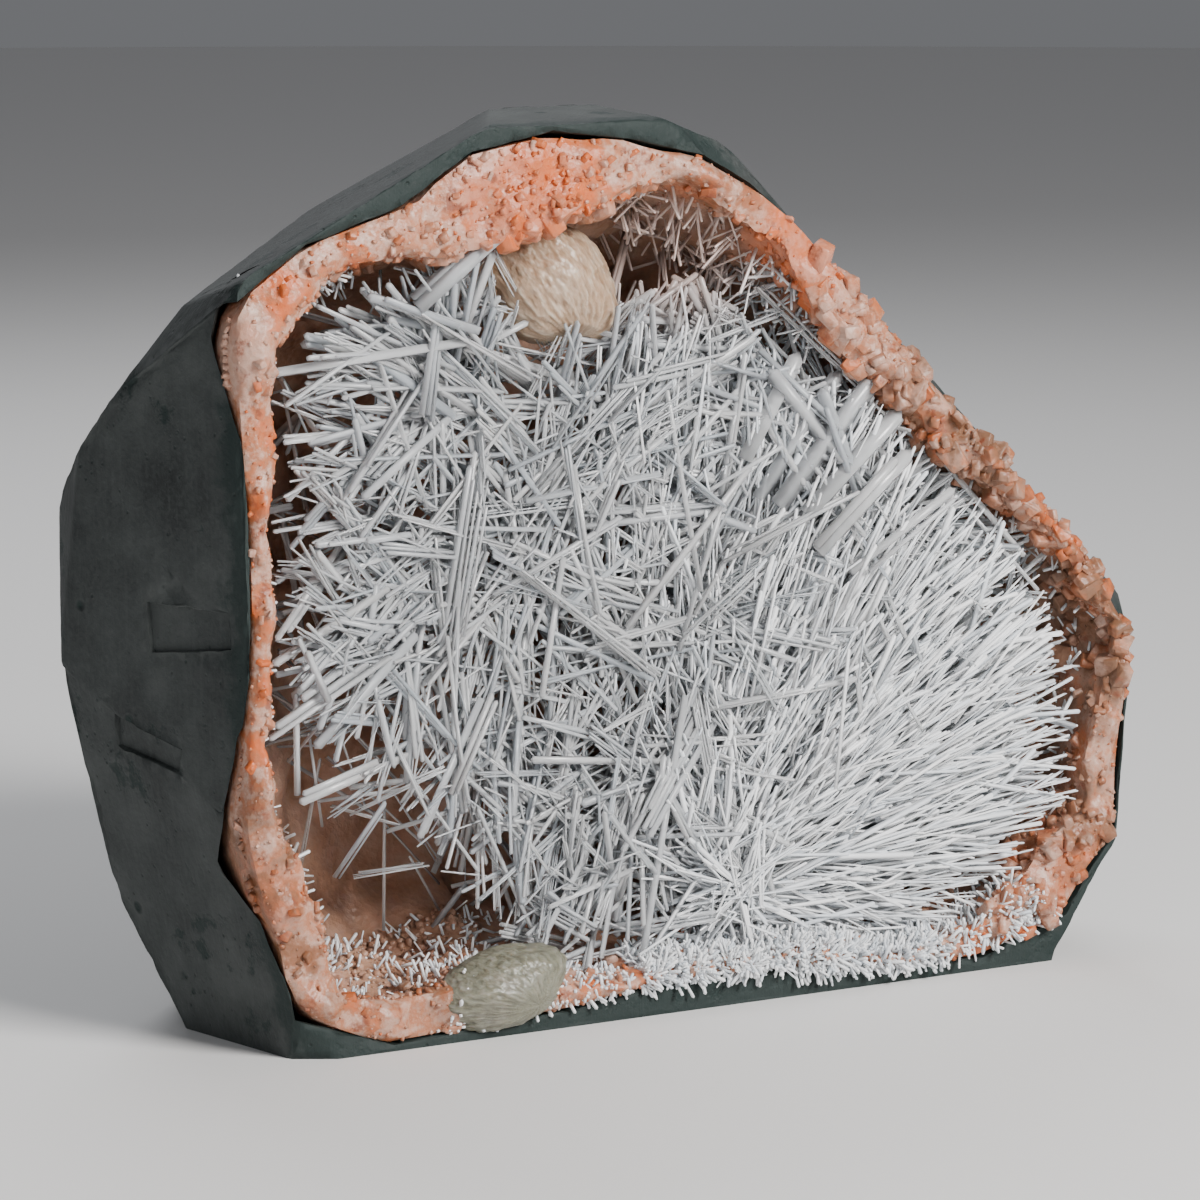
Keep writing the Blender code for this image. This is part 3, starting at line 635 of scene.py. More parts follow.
@dataclass
class BasaltBlock:
    """The ground block of basalt, with worn edges and a rough broken surface."""

    longest_edge: float = 2.3
    rounds: int = 8
    wear: float = 0.55
    chip_size: float = 4.5
    wave_size: float = 16.0
    wave_height: float = 0.22
    rough_size: float = 2.6
    rough_height: float = 0.10
    sharp_bend: float = 0.35
    flat_base: float = 0.3
    chip_share: float = 0.35
    smooth_below: float = 24.0

    def refine(self, mesh: bpy.types.Mesh) -> None:
        """Merges the loose triangles of the node and halves long edges until all are short.

        Args:
            mesh: A copy of the node's mesh.
        """
        work = bmesh.new()
        work.from_mesh(mesh)
        bmesh.ops.remove_doubles(work, verts=work.verts, dist=1e-6)
        for _ in range(self.rounds):
            long_edges = [edge for edge in work.edges if edge.calc_length() > self.longest_edge * MM]
            if not long_edges:
                break
            bmesh.ops.subdivide_edges(work, edges=long_edges, cuts=1)
            bmesh.ops.triangulate(work, faces=[face for face in work.faces if len(face.verts) > 3])
        bmesh.ops.recalc_face_normals(work, faces=work.faces)
        work.to_mesh(mesh)
        work.free()

    def edge_marks(self, mesh: bpy.types.Mesh, edges: np.ndarray) -> np.ndarray:
        """Finds how sharp the surface bends at each point, spread a little round the edges.

        Args:
            mesh: The refined mesh.
            edges: The two point numbers of each edge.

        Returns:
            A mark for each point, near 1 along sharp edges.
        """
        work = bmesh.new()
        work.from_mesh(mesh)
        marks = np.zeros(len(work.verts))
        for edge in work.edges:
            if len(edge.link_faces) == 2 and edge.calc_face_angle_signed() > self.sharp_bend:
                marks[[vertex.index for vertex in edge.verts]] = 1.0
        work.free()
        counts = np.bincount(edges.ravel(), minlength=len(marks))
        for _ in range(2):
            total = np.bincount(edges[:, 0], marks[edges[:, 1]], len(marks))
            total += np.bincount(edges[:, 1], marks[edges[:, 0]], len(marks))
            marks = np.maximum(marks * 0.9, 0.5 * marks + 0.5 * total / np.maximum(counts, 1))
        return marks

    def build(self) -> bpy.types.Object:
        """Makes the block from the node's own mesh.

        Returns:
            The finished object.
        """
        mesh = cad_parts[ROCK].data.copy()
        mesh.name = "basalt_block"
        self.refine(mesh)
        block = put_in_scene("basalt_block", mesh)
        points, edges = mesh_arrays(mesh)
        marks = self.edge_marks(mesh, edges)
        normals = np.empty(len(points) * 3)
        mesh.vertices.foreach_get("normal", normals)
        normals = normals.reshape(-1, 3)
        moved = points.copy()
        for index, (point, mark) in enumerate(zip(points, marks)):
            if point[2] < self.flat_base:
                continue
            place = Vector(point)
            shift = self.wave_height * noise.noise(place / self.wave_size)
            shift += self.rough_height * noise.noise(place / self.rough_size)
            if mark > 0.05:
                chip = noise.noise(place / self.chip_size + Vector((4.0, 1.0, 7.0))) + self.chip_share
                shift -= self.wear * mark * (self.chip_share + max(0.0, chip))
            moved[index] = point + normals[index] * shift
        write_points(mesh, moved)
        pick(block)
        bpy.ops.object.shade_smooth_by_angle(angle=math.radians(self.smooth_below))
        return block


# The crust

@dataclass
class Hollow:
    """The wall of the hollow as the rock has it, found by rays from the middle of its mouth."""

    ray_depth: float = 3.5
    clearance: float = 0.3
    front_rows: Tuple[float, ...] = (0.5, 1.6, 2.6)
    rise_rows: int = 46
    reach: float = 170.0
    notch_slack: float = 4.0
    notch_distance: float = 60.0
    notch_clearance: float = 0.1

    def __post_init__(self) -> None:
        """Reads the frame."""
        lowest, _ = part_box(ROCK)
        self.mouth = lowest[1] / MM
        self.rock = tree_of(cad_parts[ROCK])
        self.crust = tree_of(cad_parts[CRUST])

    def start(self, depth: float) -> Vector:
        """Gives the point behind the middle of the mouth at a depth."""
        return Vector((MOUTH_MIDDLE[0], self.mouth + depth, MOUTH_MIDDLE[1]))

    def direction(self, angle: float, rise: float) -> Vector:
        """Gives the direction at an angle round the mouth and a rise into the rock, in degrees."""
        turn = math.radians(angle)
        lift = math.radians(rise)
        return Vector((math.cos(turn) * math.cos(lift), math.sin(lift), math.sin(turn) * math.cos(lift)))

    def outer_point(self, angle: float, row: int) -> Tuple[Vector, Vector]:
        """Finds the crust's outer surface.

        Args:
            angle: The angle round the mouth, in degrees.
            row: The row, from the mouth to the deepest point.

        Returns:
            The point, and the direction that leads to it.
        """
        front = len(self.front_rows)
        depth = self.front_rows[row] if row < front else self.ray_depth
        rise = 0.0 if row < front else 90.0 * (row - front) / (self.rise_rows - 1)
        start = self.start(depth)
        ray = self.direction(angle, rise)
        hit, _, _, distance = self.rock.ray_cast(start, ray, self.reach)
        if hit is None or not self.inside_reach(start, ray, distance):
            start_low = self.start(max(depth, self.ray_depth))
            outside = start_low + ray * self.reach
            hit, _, _, away = self.crust.ray_cast(outside, -ray, self.reach)
            distance = self.reach - away if hit else self.notch_distance
            return start + ray * (distance - self.notch_clearance), ray
        return start + ray * (distance - self.clearance), ray

    def inside_reach(self, start: Vector, ray: Vector, distance: float) -> bool:
        """Tells whether the rock that a ray meets is the wall of the hollow and not past a notch."""
        outside = start + ray * self.reach
        hit, _, _, away = self.crust.ray_cast(outside, -ray, self.reach)
        if hit is None:
            return True
        return distance < self.reach - away + self.notch_slack

    @property
    def rows(self) -> int:
        """The number of rows, from the mouth to the deepest point."""
        return len(self.front_rows) + self.rise_rows


@dataclass
class CrustLining:
    """The lining of the hollow: a closed bowl with a lumpy inner wall and an uneven front lip."""

    columns: int = 540
    inner_rows: int = 100
    lip_rows: int = 9
    outer_rows: int = 14
    thickness: float = 3.4
    thick_places: Tuple[Tuple[float, float, float, float], ...] = (
        (117.0, 17.0, 9.5, 0.55),
        (150.0, 10.0, 2.5, 0.5),
        (58.0, 16.0, 4.0, 0.4),
        (24.0, 14.0, 3.0, 0.5),
        (322.0, 10.0, 6.0, 0.4),
        (212.0, 12.0, 3.5, 0.8),
        (236.0, 9.0, 5.0, 0.9),
        (182.0, 16.0, -1.0, 0.3),
        (270.0, 26.0, -0.8, 0.3),
    )
    lumps: Tuple[Pair, ...] = ((10.0, 2.2), (4.5, 0.9))
    block_size: float = 2.3
    block_height: float = 0.42
    lip_rise: Pair = (0.5, 2.2)
    row_power: float = 1.25
    deepest: float = 0.985
    even_jump: float = 0.6
    smooth_below: float = 38.0

    def crust_thickness(self, angle: float, share: float) -> float:
        """Gives the thickness of the crust.

        Args:
            angle: The angle round the mouth, in degrees.
            share: How deep, from 0 at the mouth to 1.

        Returns:
            The thickness in millimetres.
        """
        extra = 0.0
        for middle, half_width, height, fade in self.thick_places:
            extra += bump_sum(angle, ((middle, half_width, height),)) * max(0.0, 1.0 - share / fade)
        return self.thickness + extra

    def relief(self, point: Vector) -> float:
        """Gives the height of the lumps and blocks at a point of the inner wall."""
        height = 0.0
        for size, rise in self.lumps:
            height += rise * noise.noise(point / size)
        height += self.block_height * cell_height(point, self.block_size, 2.2)
        return height + 0.3 * self.block_height * cell_height(point, self.block_size * 0.45, 2.0)

    def outer_grid(self, hollow: Hollow) -> Tuple[np.ndarray, np.ndarray]:
        """Measures the outer wall on a coarse grid and evens it out.

        Args:
            hollow: The hollow of the rock.

        Returns:
            The points and the ray directions, by row and column.
        """
        coarse = self.columns // 4
        points = np.zeros((hollow.rows, coarse, 3))
        rays = np.zeros((hollow.rows, coarse, 3))
        for row in range(hollow.rows):
            for column in range(coarse):
                point, ray = hollow.outer_point(360.0 * column / coarse, row)
                points[row, column] = point
                rays[row, column] = ray
        smooth = (np.roll(points, 1, axis=1) + points * 2.0 + np.roll(points, -1, axis=1)) / 4.0
        jumps = np.linalg.norm(smooth - points, axis=2, keepdims=True)
        return np.where(jumps > self.even_jump, smooth, points), rays

    @staticmethod
    def sample(grid: np.ndarray, row: float, column: float) -> Vector:
        """Reads a grid between its points.

        Args:
            grid: Vectors by row and column. The columns run round.
            row: The row, with its fraction.
            column: The column, with its fraction.

        Returns:
            The blended vector.
        """
        low_row = min(int(row), grid.shape[0] - 2)
        low_column = int(column) % grid.shape[1]
        next_column = (low_column + 1) % grid.shape[1]
        over = row - low_row
        along = column - int(column)
        near = grid[low_row, low_column] * (1.0 - along) + grid[low_row, next_column] * along
        far = grid[low_row + 1, low_column] * (1.0 - along) + grid[low_row + 1, next_column] * along
        return Vector(near * (1.0 - over) + far * over)

    def surface(self, hollow: Hollow) -> List[np.ndarray]:
        """Works out the rings of the closed lining, from the deepest inner one to the deepest outer one.

        Args:
            hollow: The hollow of the rock.

        Returns:
            The rings, each with one point for each column.
        """
        points, rays = self.outer_grid(hollow)
        coarse = points.shape[1]
        last = hollow.rows - 1
        places = [column * coarse / self.columns for column in range(self.columns)]
        inner = []
        for row in range(self.inner_rows):
            share = (row / (self.inner_rows - 1)) ** self.row_power
            deep = share * last * self.deepest
            ring = []
            for column, along in enumerate(places):
                ray = self.sample(rays, deep, along).normalized()
                thickness = self.crust_thickness(360.0 * column / self.columns, share)
                place = self.sample(points, deep, along) - ray * thickness
                ring.append(place - ray * self.relief(place))
            inner.append(np.array(ring))
        outer = []
        for row in range(self.outer_rows):
            deep = row / (self.outer_rows - 1) * last * self.deepest
            outer.append(np.array([self.sample(points, deep, along) for along in places]))
        return inner[::-1] + self.lip(inner[0], outer[0]) + outer

    def lip(self, inside: np.ndarray, outside: np.ndarray) -> List[np.ndarray]:
        """Works out the rounded, uneven front lip between the two walls.

        Args:
            inside: The first ring of the inner wall.
            outside: The first ring of the outer wall.

        Returns:
            The rings between them.
        """
        rings = []
        for row in range(1, self.lip_rows + 1):
            share = row / (self.lip_rows + 1)
            ring = inside * (1.0 - share) + outside * share
            for index, value in enumerate(ring):
                place = Vector(value)
                rise = self.lip_rise[0] + self.lip_rise[1] * (noise.noise(place / 5.0) + 0.25)
                rise += 0.5 * cell_height(place, 2.2, 2.0)
                ring[index, 1] -= max(rise, 0.2) * math.sin(math.pi * share) ** 0.6
            rings.append(ring)
        return rings

    def build(self, hollow: Hollow) -> bpy.types.Object:
        """Shapes a ball into the lining.

        Args:
            hollow: The hollow of the rock.

        Returns:
            The finished object.
        """
        rings = self.surface(hollow)
        steps = len(rings) + 1
        lining, ball = unit_ball("crust_lining", self.columns, steps)
        ring_number = np.rint(np.arccos(np.clip(ball[:, 2], -1.0, 1.0)) / math.pi * steps).astype(int)
        column_number = np.rint(np.arctan2(ball[:, 1], ball[:, 0]) / math.tau * self.columns).astype(int)
        column_number %= self.columns
        ends = (rings[0].mean(axis=0), rings[-1].mean(axis=0))
        shaped = np.zeros_like(ball)
        for index, (ring, column) in enumerate(zip(ring_number, column_number)):
            if ring == 0:
                shaped[index] = ends[0]
            elif ring > len(rings):
                shaped[index] = ends[1]
            else:
                shaped[index] = rings[ring - 1][column]
        write_points(lining.data, shaped)
        pick(lining)
        bpy.ops.object.mode_set(mode="EDIT")
        bpy.ops.mesh.select_all(action="SELECT")
        bpy.ops.mesh.normals_make_consistent(inside=False)
        bpy.ops.object.mode_set(mode="OBJECT")
        bpy.ops.object.shade_smooth_by_angle(angle=math.radians(self.smooth_below))
        return lining


# Crystals that are repeated

class CrystalForm(Enum):
    """The forms of a single crystal."""

    BLOCK = "block"
    GRAIN = "grain"
    NEEDLE = "needle"


def model_crystal(form: CrystalForm) -> bpy.types.Object:
    """Models one crystal of unit width that stands on the origin.

    What lies above a height of 1 is its tip, which keeps its shape when the crystal is made longer.

    Args:
        form: The form to model.

    Returns:
        The object of the single crystal.
    """
    deselect_all()
    bpy.ops.mesh.primitive_cube_add(size=1.0, location=(0.0, 0.0, 0.5))
    crystal = bpy.context.object
    bpy.ops.object.transform_apply(location=True)
    bpy.ops.object.mode_set(mode="EDIT")
    bpy.ops.mesh.select_mode(type="FACE")
    bpy.ops.mesh.select_all(action="DESELECT")
    work = bmesh.from_edit_mesh(crystal.data)
    for face in work.faces:
        face.select_set(face.normal.z > 0.9)
    bmesh.update_edit_mesh(crystal.data)
    if form is CrystalForm.NEEDLE:
        bpy.ops.mesh.extrude_region_move(TRANSFORM_OT_translate={"value": (0.0, 0.0, 0.55)})
        bpy.ops.mesh.merge(type="CENTER")
    else:
        bpy.ops.transform.resize(value=(0.66, 0.8, 1.0), center_override=(0.0, 0.0, 1.0))
    if form is CrystalForm.BLOCK:
        bpy.ops.mesh.select_all(action="SELECT")
        bpy.ops.mesh.bevel(offset=0.05, segments=1, affect="EDGES")
    bpy.ops.object.mode_set(mode="OBJECT")
    crystal.name = "single_" + form.value
    return crystal


class CrystalField:
    """Many copies of one crystal, joined in one mesh."""

    def __init__(self, form: CrystalForm) -> None:
        """Models the single crystal and keeps its shape.

        Args:
            form: The form to copy.
        """
        single = model_crystal(form)
        points, _ = mesh_arrays(single.data)
        points = points * MM
        self.across = points[:, :2]
        self.along = np.clip(points[:, 2], 0.0, 1.0)
        self.tip = points[:, 2] - self.along
        self.faces = [tuple(face.vertices) for face in single.data.polygons]
        self.frames: List[np.ndarray] = []
        self.sizes: List[Point] = []
        self.tints: List[float] = []
        bpy.data.objects.remove(single, do_unlink=True)

    def grow(
        self, root: Vector, turn: Matrix, width: float, thick: float, length: float, tint: float,
    ) -> None:
        """Adds one crystal.

        Args:
            root: Where it stands.
            turn: Its turn, with Z along its length.
            width: Its width.
            thick: Its thickness.
            length: Its length up to the tip.
            tint: A number from 0 to 1 that its material reads.
        """
        self.frames.append(np.array([(*row, root[axis]) for axis, row in enumerate(turn)]))
        self.sizes.append((width, thick, length))
        self.tints.append(tint)

    def build(self, name: str) -> bpy.types.Object:
        """Joins all the crystals.

        Args:
            name: The object's name.

        Returns:
            The finished object.
        """
        frames = np.array(self.frames)
        sizes = np.array(self.sizes)
        local = np.ones((len(frames), len(self.along), 4))
        local[:, :, 0] = self.across[None, :, 0] * sizes[:, None, 0]
        local[:, :, 1] = self.across[None, :, 1] * sizes[:, None, 1]
        local[:, :, 2] = self.along[None, :] * sizes[:, None, 2] + self.tip[None, :] * sizes[:, None, 0]
        points = np.einsum("nij,nvj->nvi", frames, local).reshape(-1, 3) * MM
        count = len(self.along)
        sides = np.array([len(face) for face in self.faces])
        corners = np.concatenate([np.array(face) for face in self.faces])
        starts = np.arange(len(frames)) * count
        loops = (corners[None, :] + starts[:, None]).ravel()
        totals = np.tile(sides, len(frames))
        mesh = bpy.data.meshes.new(name)
        mesh.vertices.add(len(points))
        mesh.vertices.foreach_set("co", points.astype(np.float32).ravel())
        mesh.loops.add(len(loops))
        mesh.loops.foreach_set("vertex_index", loops.astype(np.int32))
        mesh.polygons.add(len(totals))
        firsts = np.concatenate([[0], np.cumsum(totals)[:-1]])
        mesh.polygons.foreach_set("loop_start", firsts.astype(np.int32))
        mesh.polygons.foreach_set("loop_total", totals.astype(np.int32))
        mesh.update(calc_edges=True)
        store(mesh, "tint", np.repeat(np.array(self.tints), count))
        mesh.validate()
        return put_in_scene(name, mesh)


def turn_to(axis: Vector, roll: float) -> Matrix:
    """Gives the turn that points Z along an axis."""
    return axis.to_track_quat("Z", "Y").to_matrix() @ Matrix.Rotation(roll, 3, "Z")


@dataclass(frozen=True)
class CrystalPatch:
    """A growth of blocky crystals: where round the mouth, how deep, how many and how large."""

    angle: float
    half_width: float
    depth: Pair
    count: int
    size: Pair
    form: CrystalForm
    loose: float = 0.5


@dataclass
class BlockyCrystals:
    """The blocky crystals on the crust, in patches round the mouth."""

    lip_depth: float = 1.5
    bare_depth: float = 14.0
    inner_depth: float = 30.0
    patches: Tuple[CrystalPatch, ...] = (
        CrystalPatch(0.0, 360.0, (-4.0, 5.0), 460, (0.6, 1.9), CrystalForm.BLOCK),
        CrystalPatch(0.0, 360.0, (3.0, 18.0), 460, (0.8, 2.8), CrystalForm.BLOCK),
        CrystalPatch(113.0, 17.0, (1.5, 12.0), 240, (1.6, 4.6), CrystalForm.BLOCK, 0.4),
        CrystalPatch(120.0, 15.0, (-4.0, 2.0), 110, (0.6, 1.8), CrystalForm.BLOCK),
        CrystalPatch(42.0, 26.0, (-3.0, 10.0), 190, (1.4, 4.6), CrystalForm.BLOCK),
        CrystalPatch(4.0, 18.0, (-3.0, 12.0), 130, (1.4, 4.2), CrystalForm.BLOCK),
        CrystalPatch(322.0, 9.0, (-3.0, 9.0), 90, (1.2, 3.6), CrystalForm.BLOCK),
        CrystalPatch(0.0, 360.0, (-4.0, 12.0), 2200, (0.3, 0.9), CrystalForm.GRAIN),
        CrystalPatch(150.0, 14.0, (1.0, 14.0), 700, (0.4, 1.6), CrystalForm.GRAIN),
        CrystalPatch(228.0, 16.0, (1.0, 26.0), 1200, (0.4, 1.6), CrystalForm.GRAIN),
    )
    seed: int = 5

    def spots(self, lining: bpy.types.Object, mouth: float, rock: BVHTree) -> np.ndarray:
        """Lists the faces of the lining that crystals can grow on.

        Args:
            lining: The crust's lining.
            mouth: The Y of the open face.
            rock: The rock, which covers the outer side except at its notches.

        Returns:
            A row for each face: its middle, its normal, its area, its angle round the mouth and its depth.
        """
        found = []
        # Blender lists the faces of a new ball in another order each time, so they are put in one order here.
        for face in sorted(lining.data.polygons, key=lambda face: sorted(face.vertices)):
            place = face.center / MM
            across, up = place.x - MOUTH_MIDDLE[0], place.z - MOUTH_MIDDLE[1]
            inward = -(face.normal.x * across + face.normal.z * up) / max(math.hypot(across, up), 1.0)
            depth = place.y - mouth
            lip = face.normal.y < -0.25 and depth < self.lip_depth
            outer = inward < -0.1 and depth < self.bare_depth
            bare = outer and rock.ray_cast(place, face.normal)[0] is None
            if lip or bare or (inward > 0.1 and depth < self.inner_depth):
                angle = math.degrees(math.atan2(up, across)) % 360.0
                found.append((*place, *face.normal, face.area / MM ** 2, angle, depth))
        return np.round(np.array(found), 5)

    def chosen(self, patch: CrystalPatch, spots: np.ndarray) -> np.ndarray:
        """Picks the faces that belong to a patch.

        Args:
            patch: The patch.
            spots: All faces, as spots gives them.

        Returns:
            The rows of its faces.
        """
        away = np.abs((spots[:, 7] - patch.angle + 180.0) % 360.0 - 180.0)
        deep = (spots[:, 8] > patch.depth[0]) & (spots[:, 8] < patch.depth[1])
        return spots[deep & (away < patch.half_width)]

    def build(self, spots: np.ndarray) -> Tuple[bpy.types.Object, bpy.types.Object]:
        """Grows the crystals.

        Args:
            spots: The faces of the lining, as spots gives them.

        Returns:
            The large crystals and the grains.
        """
        chance = random.Random(self.seed)
        fields = {form: CrystalField(form) for form in (CrystalForm.BLOCK, CrystalForm.GRAIN)}
        for patch in self.patches:
            rows = self.chosen(patch, spots)
            for row in chance.choices(rows, list(rows[:, 6]), k=patch.count):
                size = draw(chance, patch.size, 1.9)
                axis = (Vector(row[3:6]) + jitter(chance, patch.loose)).normalized()
                turn = turn_to(axis, chance.uniform(0.0, math.tau))
                long = size * chance.uniform(0.8, 1.3)
                root = Vector(row[0:3]) - axis * long * chance.uniform(0.45, 0.65)
                thick = size * chance.uniform(0.45, 0.85)
                fields[patch.form].grow(root, turn, size, thick, long, chance.random())
        made = [fields[form].build("crust_" + form.value + "s") for form in fields]
        return made[0], made[1]


# The stilbite lumps

@dataclass
class StilbiteLump:
    """A lump of stilbite fibres that fan out from one side."""

    name: str
    middle: Point
    radii: Point
    fan_root: Point
    tilt: float
    greenish: float
    finish: StilbiteFinish = StilbiteFinish()
    segments: int = 300
    rings: int = 150
    ribs: float = 44.0
    rib_height: float = 0.022

    def build(self) -> bpy.types.Object:
        """Shapes a ball into the lump and stores where its fibres lie.

        Returns:
            The finished object.
        """
        lump, ball = unit_ball(self.name, self.segments, self.rings)
        root = Vector(self.fan_root).normalized()
        side = root.orthogonal().normalized()
        other = root.cross(side)
        turned = Matrix.Rotation(math.radians(self.tilt), 3, "Y")
        middle = Vector(self.middle)
        shaped = np.zeros_like(ball)
        fibres = np.zeros(len(ball))
        for index, value in enumerate(ball):
            point = Vector(value)
            around = math.atan2(point.dot(side), point.dot(other))
            fan = Vector((math.cos(around), math.sin(around), point.dot(root) * 0.35)) * self.ribs
            fibre = 0.5 + 0.5 * noise.noise(fan * 0.35) + 0.35 * noise.noise(fan * 1.1)
            lumpy = 0.13 * noise.noise(point * 1.3 + middle) + 0.035 * noise.noise(point * 5.0 + middle)
            swell = 1.0 + lumpy + self.rib_height * (fibre - 0.5) * 2.0
            local = Vector([point[axis] * self.radii[axis] * swell for axis in range(3)])
            shaped[index] = middle + turned @ local
            fibres[index] = fibre
        write_points(lump.data, shaped)
        store(lump.data, "fibre", np.clip(fibres, 0.0, 1.0))
        pick(lump)
        bpy.ops.object.shade_smooth()
        return lump


# The needles

@dataclass
class Bed:
    """What the needles stand in: the wall of the hollow, the lumps, and the needles placed so far."""

    hollow: Hollow
    wall: BVHTree
    lumps: List[BVHTree]
    lump_room: float = 0.3
    sight_depth: float = 2.0

    def wall_behind(self, tip: Vector, axis: Vector, length: float) -> Optional[float]:
        """Finds how far back from its tip a needle meets the wall."""
        hit, _, _, distance = self.wall.ray_cast(tip, -axis, length)
        return distance if hit is not None else None

    def holds(self, point: Vector, room: float) -> bool:
        """Tells whether a point is in the hollow and clear of its wall and of the lumps.

        Args:
            point: The point to test.
            room: The room that it needs.

        Returns:
            Whether it has that room.
        """
        nearest, normal, _, distance = self.wall.find_nearest(point)
        if distance < room or (point - nearest).dot(normal) < 0.0:
            return False
        way = self.hollow.start(self.sight_depth) - point
        if self.wall.ray_cast(point, way.normalized(), way.length)[0] is not None:
            return False
        for lump in self.lumps:
            nearest, normal, _, distance = lump.find_nearest(point)
            if distance < self.lump_room or (point - nearest).dot(normal) < 0.0:
                return False
        return True


@dataclass(frozen=True)
class Star:
    """A star of needles: its middle and depth, its needles, and where most of them point."""

    middle: Pair
    depth: float
    bundles: int
    length: Pair
    width: Pair
    aim: float
    spread: float
    tip_depth: Pair = (1.5, 9.0)


@dataclass(frozen=True)
class Fill:
    """Needles that fill a stretch of the hollow: how many, how deep, how long and how wide."""

    needles: int
    across: Pair
    tip_depth: Pair
    length: Pair
    width: Pair
    loose: float


@dataclass
class Bounds:
    """Where needles may be: the outline that they fill in the mouth, and the room kept free before them."""

    outline: Tuple[Pair, ...] = (
        (-65.4, 88.4), (-64.4, 97.4), (-56.2, 107.5), (-45.1, 112.3), (-32.3, 114.9), (-25.9, 103.2),
        (-16.0, 102.7), (-8.5, 105.9), (4.1, 108.2), (21.4, 93.4), (33.8, 88.9), (45.5, 81.4), (52.9, 73.3),
        (62.3, 62.7), (68.0, 52.2), (69.6, 39.5), (74.1, 29.7), (77.1, 18.3), (65.8, 16.3), (58.4, 10.8),
        (49.2, 5.6), (31.1, 2.7), (11.5, 1.4), (-12.7, 4.3), (-29.4, 15.2), (-39.3, 23.0), (-45.7, 32.4),
        (-56.0, 40.7), (-61.5, 51.3), (-65.8, 58.1), (-63.6, 67.1), (-65.5, 77.2),
    )
    room_across: Pair = (-50.0, 13.8)
    room_up: Pair = (41.2, 94.8)
    room_depth: float = 6.9
    room_slope: float = 0.42
    ground: float = 1.5

    def inside(self, x: float, z: float) -> bool:
        """Tells whether a point lies in the outline."""
        odd = False
        for (x0, z0), (x1, z1) in zip(self.outline, self.outline[1:] + self.outline[:1]):
            if (z0 > z) != (z1 > z) and x < (x1 - x0) * (z - z0) / (z1 - z0) + x0:
                odd = not odd
        return odd

    def front(self, x: float, z: float) -> float:
        """Gives the least depth that a needle may have at a place, which falls off round the free room."""
        across = max(self.room_across[0] - x, x - self.room_across[1], 0.0)
        up = max(self.room_up[0] - z, z - self.room_up[1], 0.0)
        return max(0.8, self.room_depth - self.room_slope * math.hypot(across, up))

    def clear(self, root: Vector, tip: Vector, mouth: float) -> bool:
        """Tells whether a needle stays out of the room in front."""
        for step in range(9):
            point = root.lerp(tip, step / 8.0)
            if point.y - mouth < self.front(point.x, point.z):
                return False
        return True


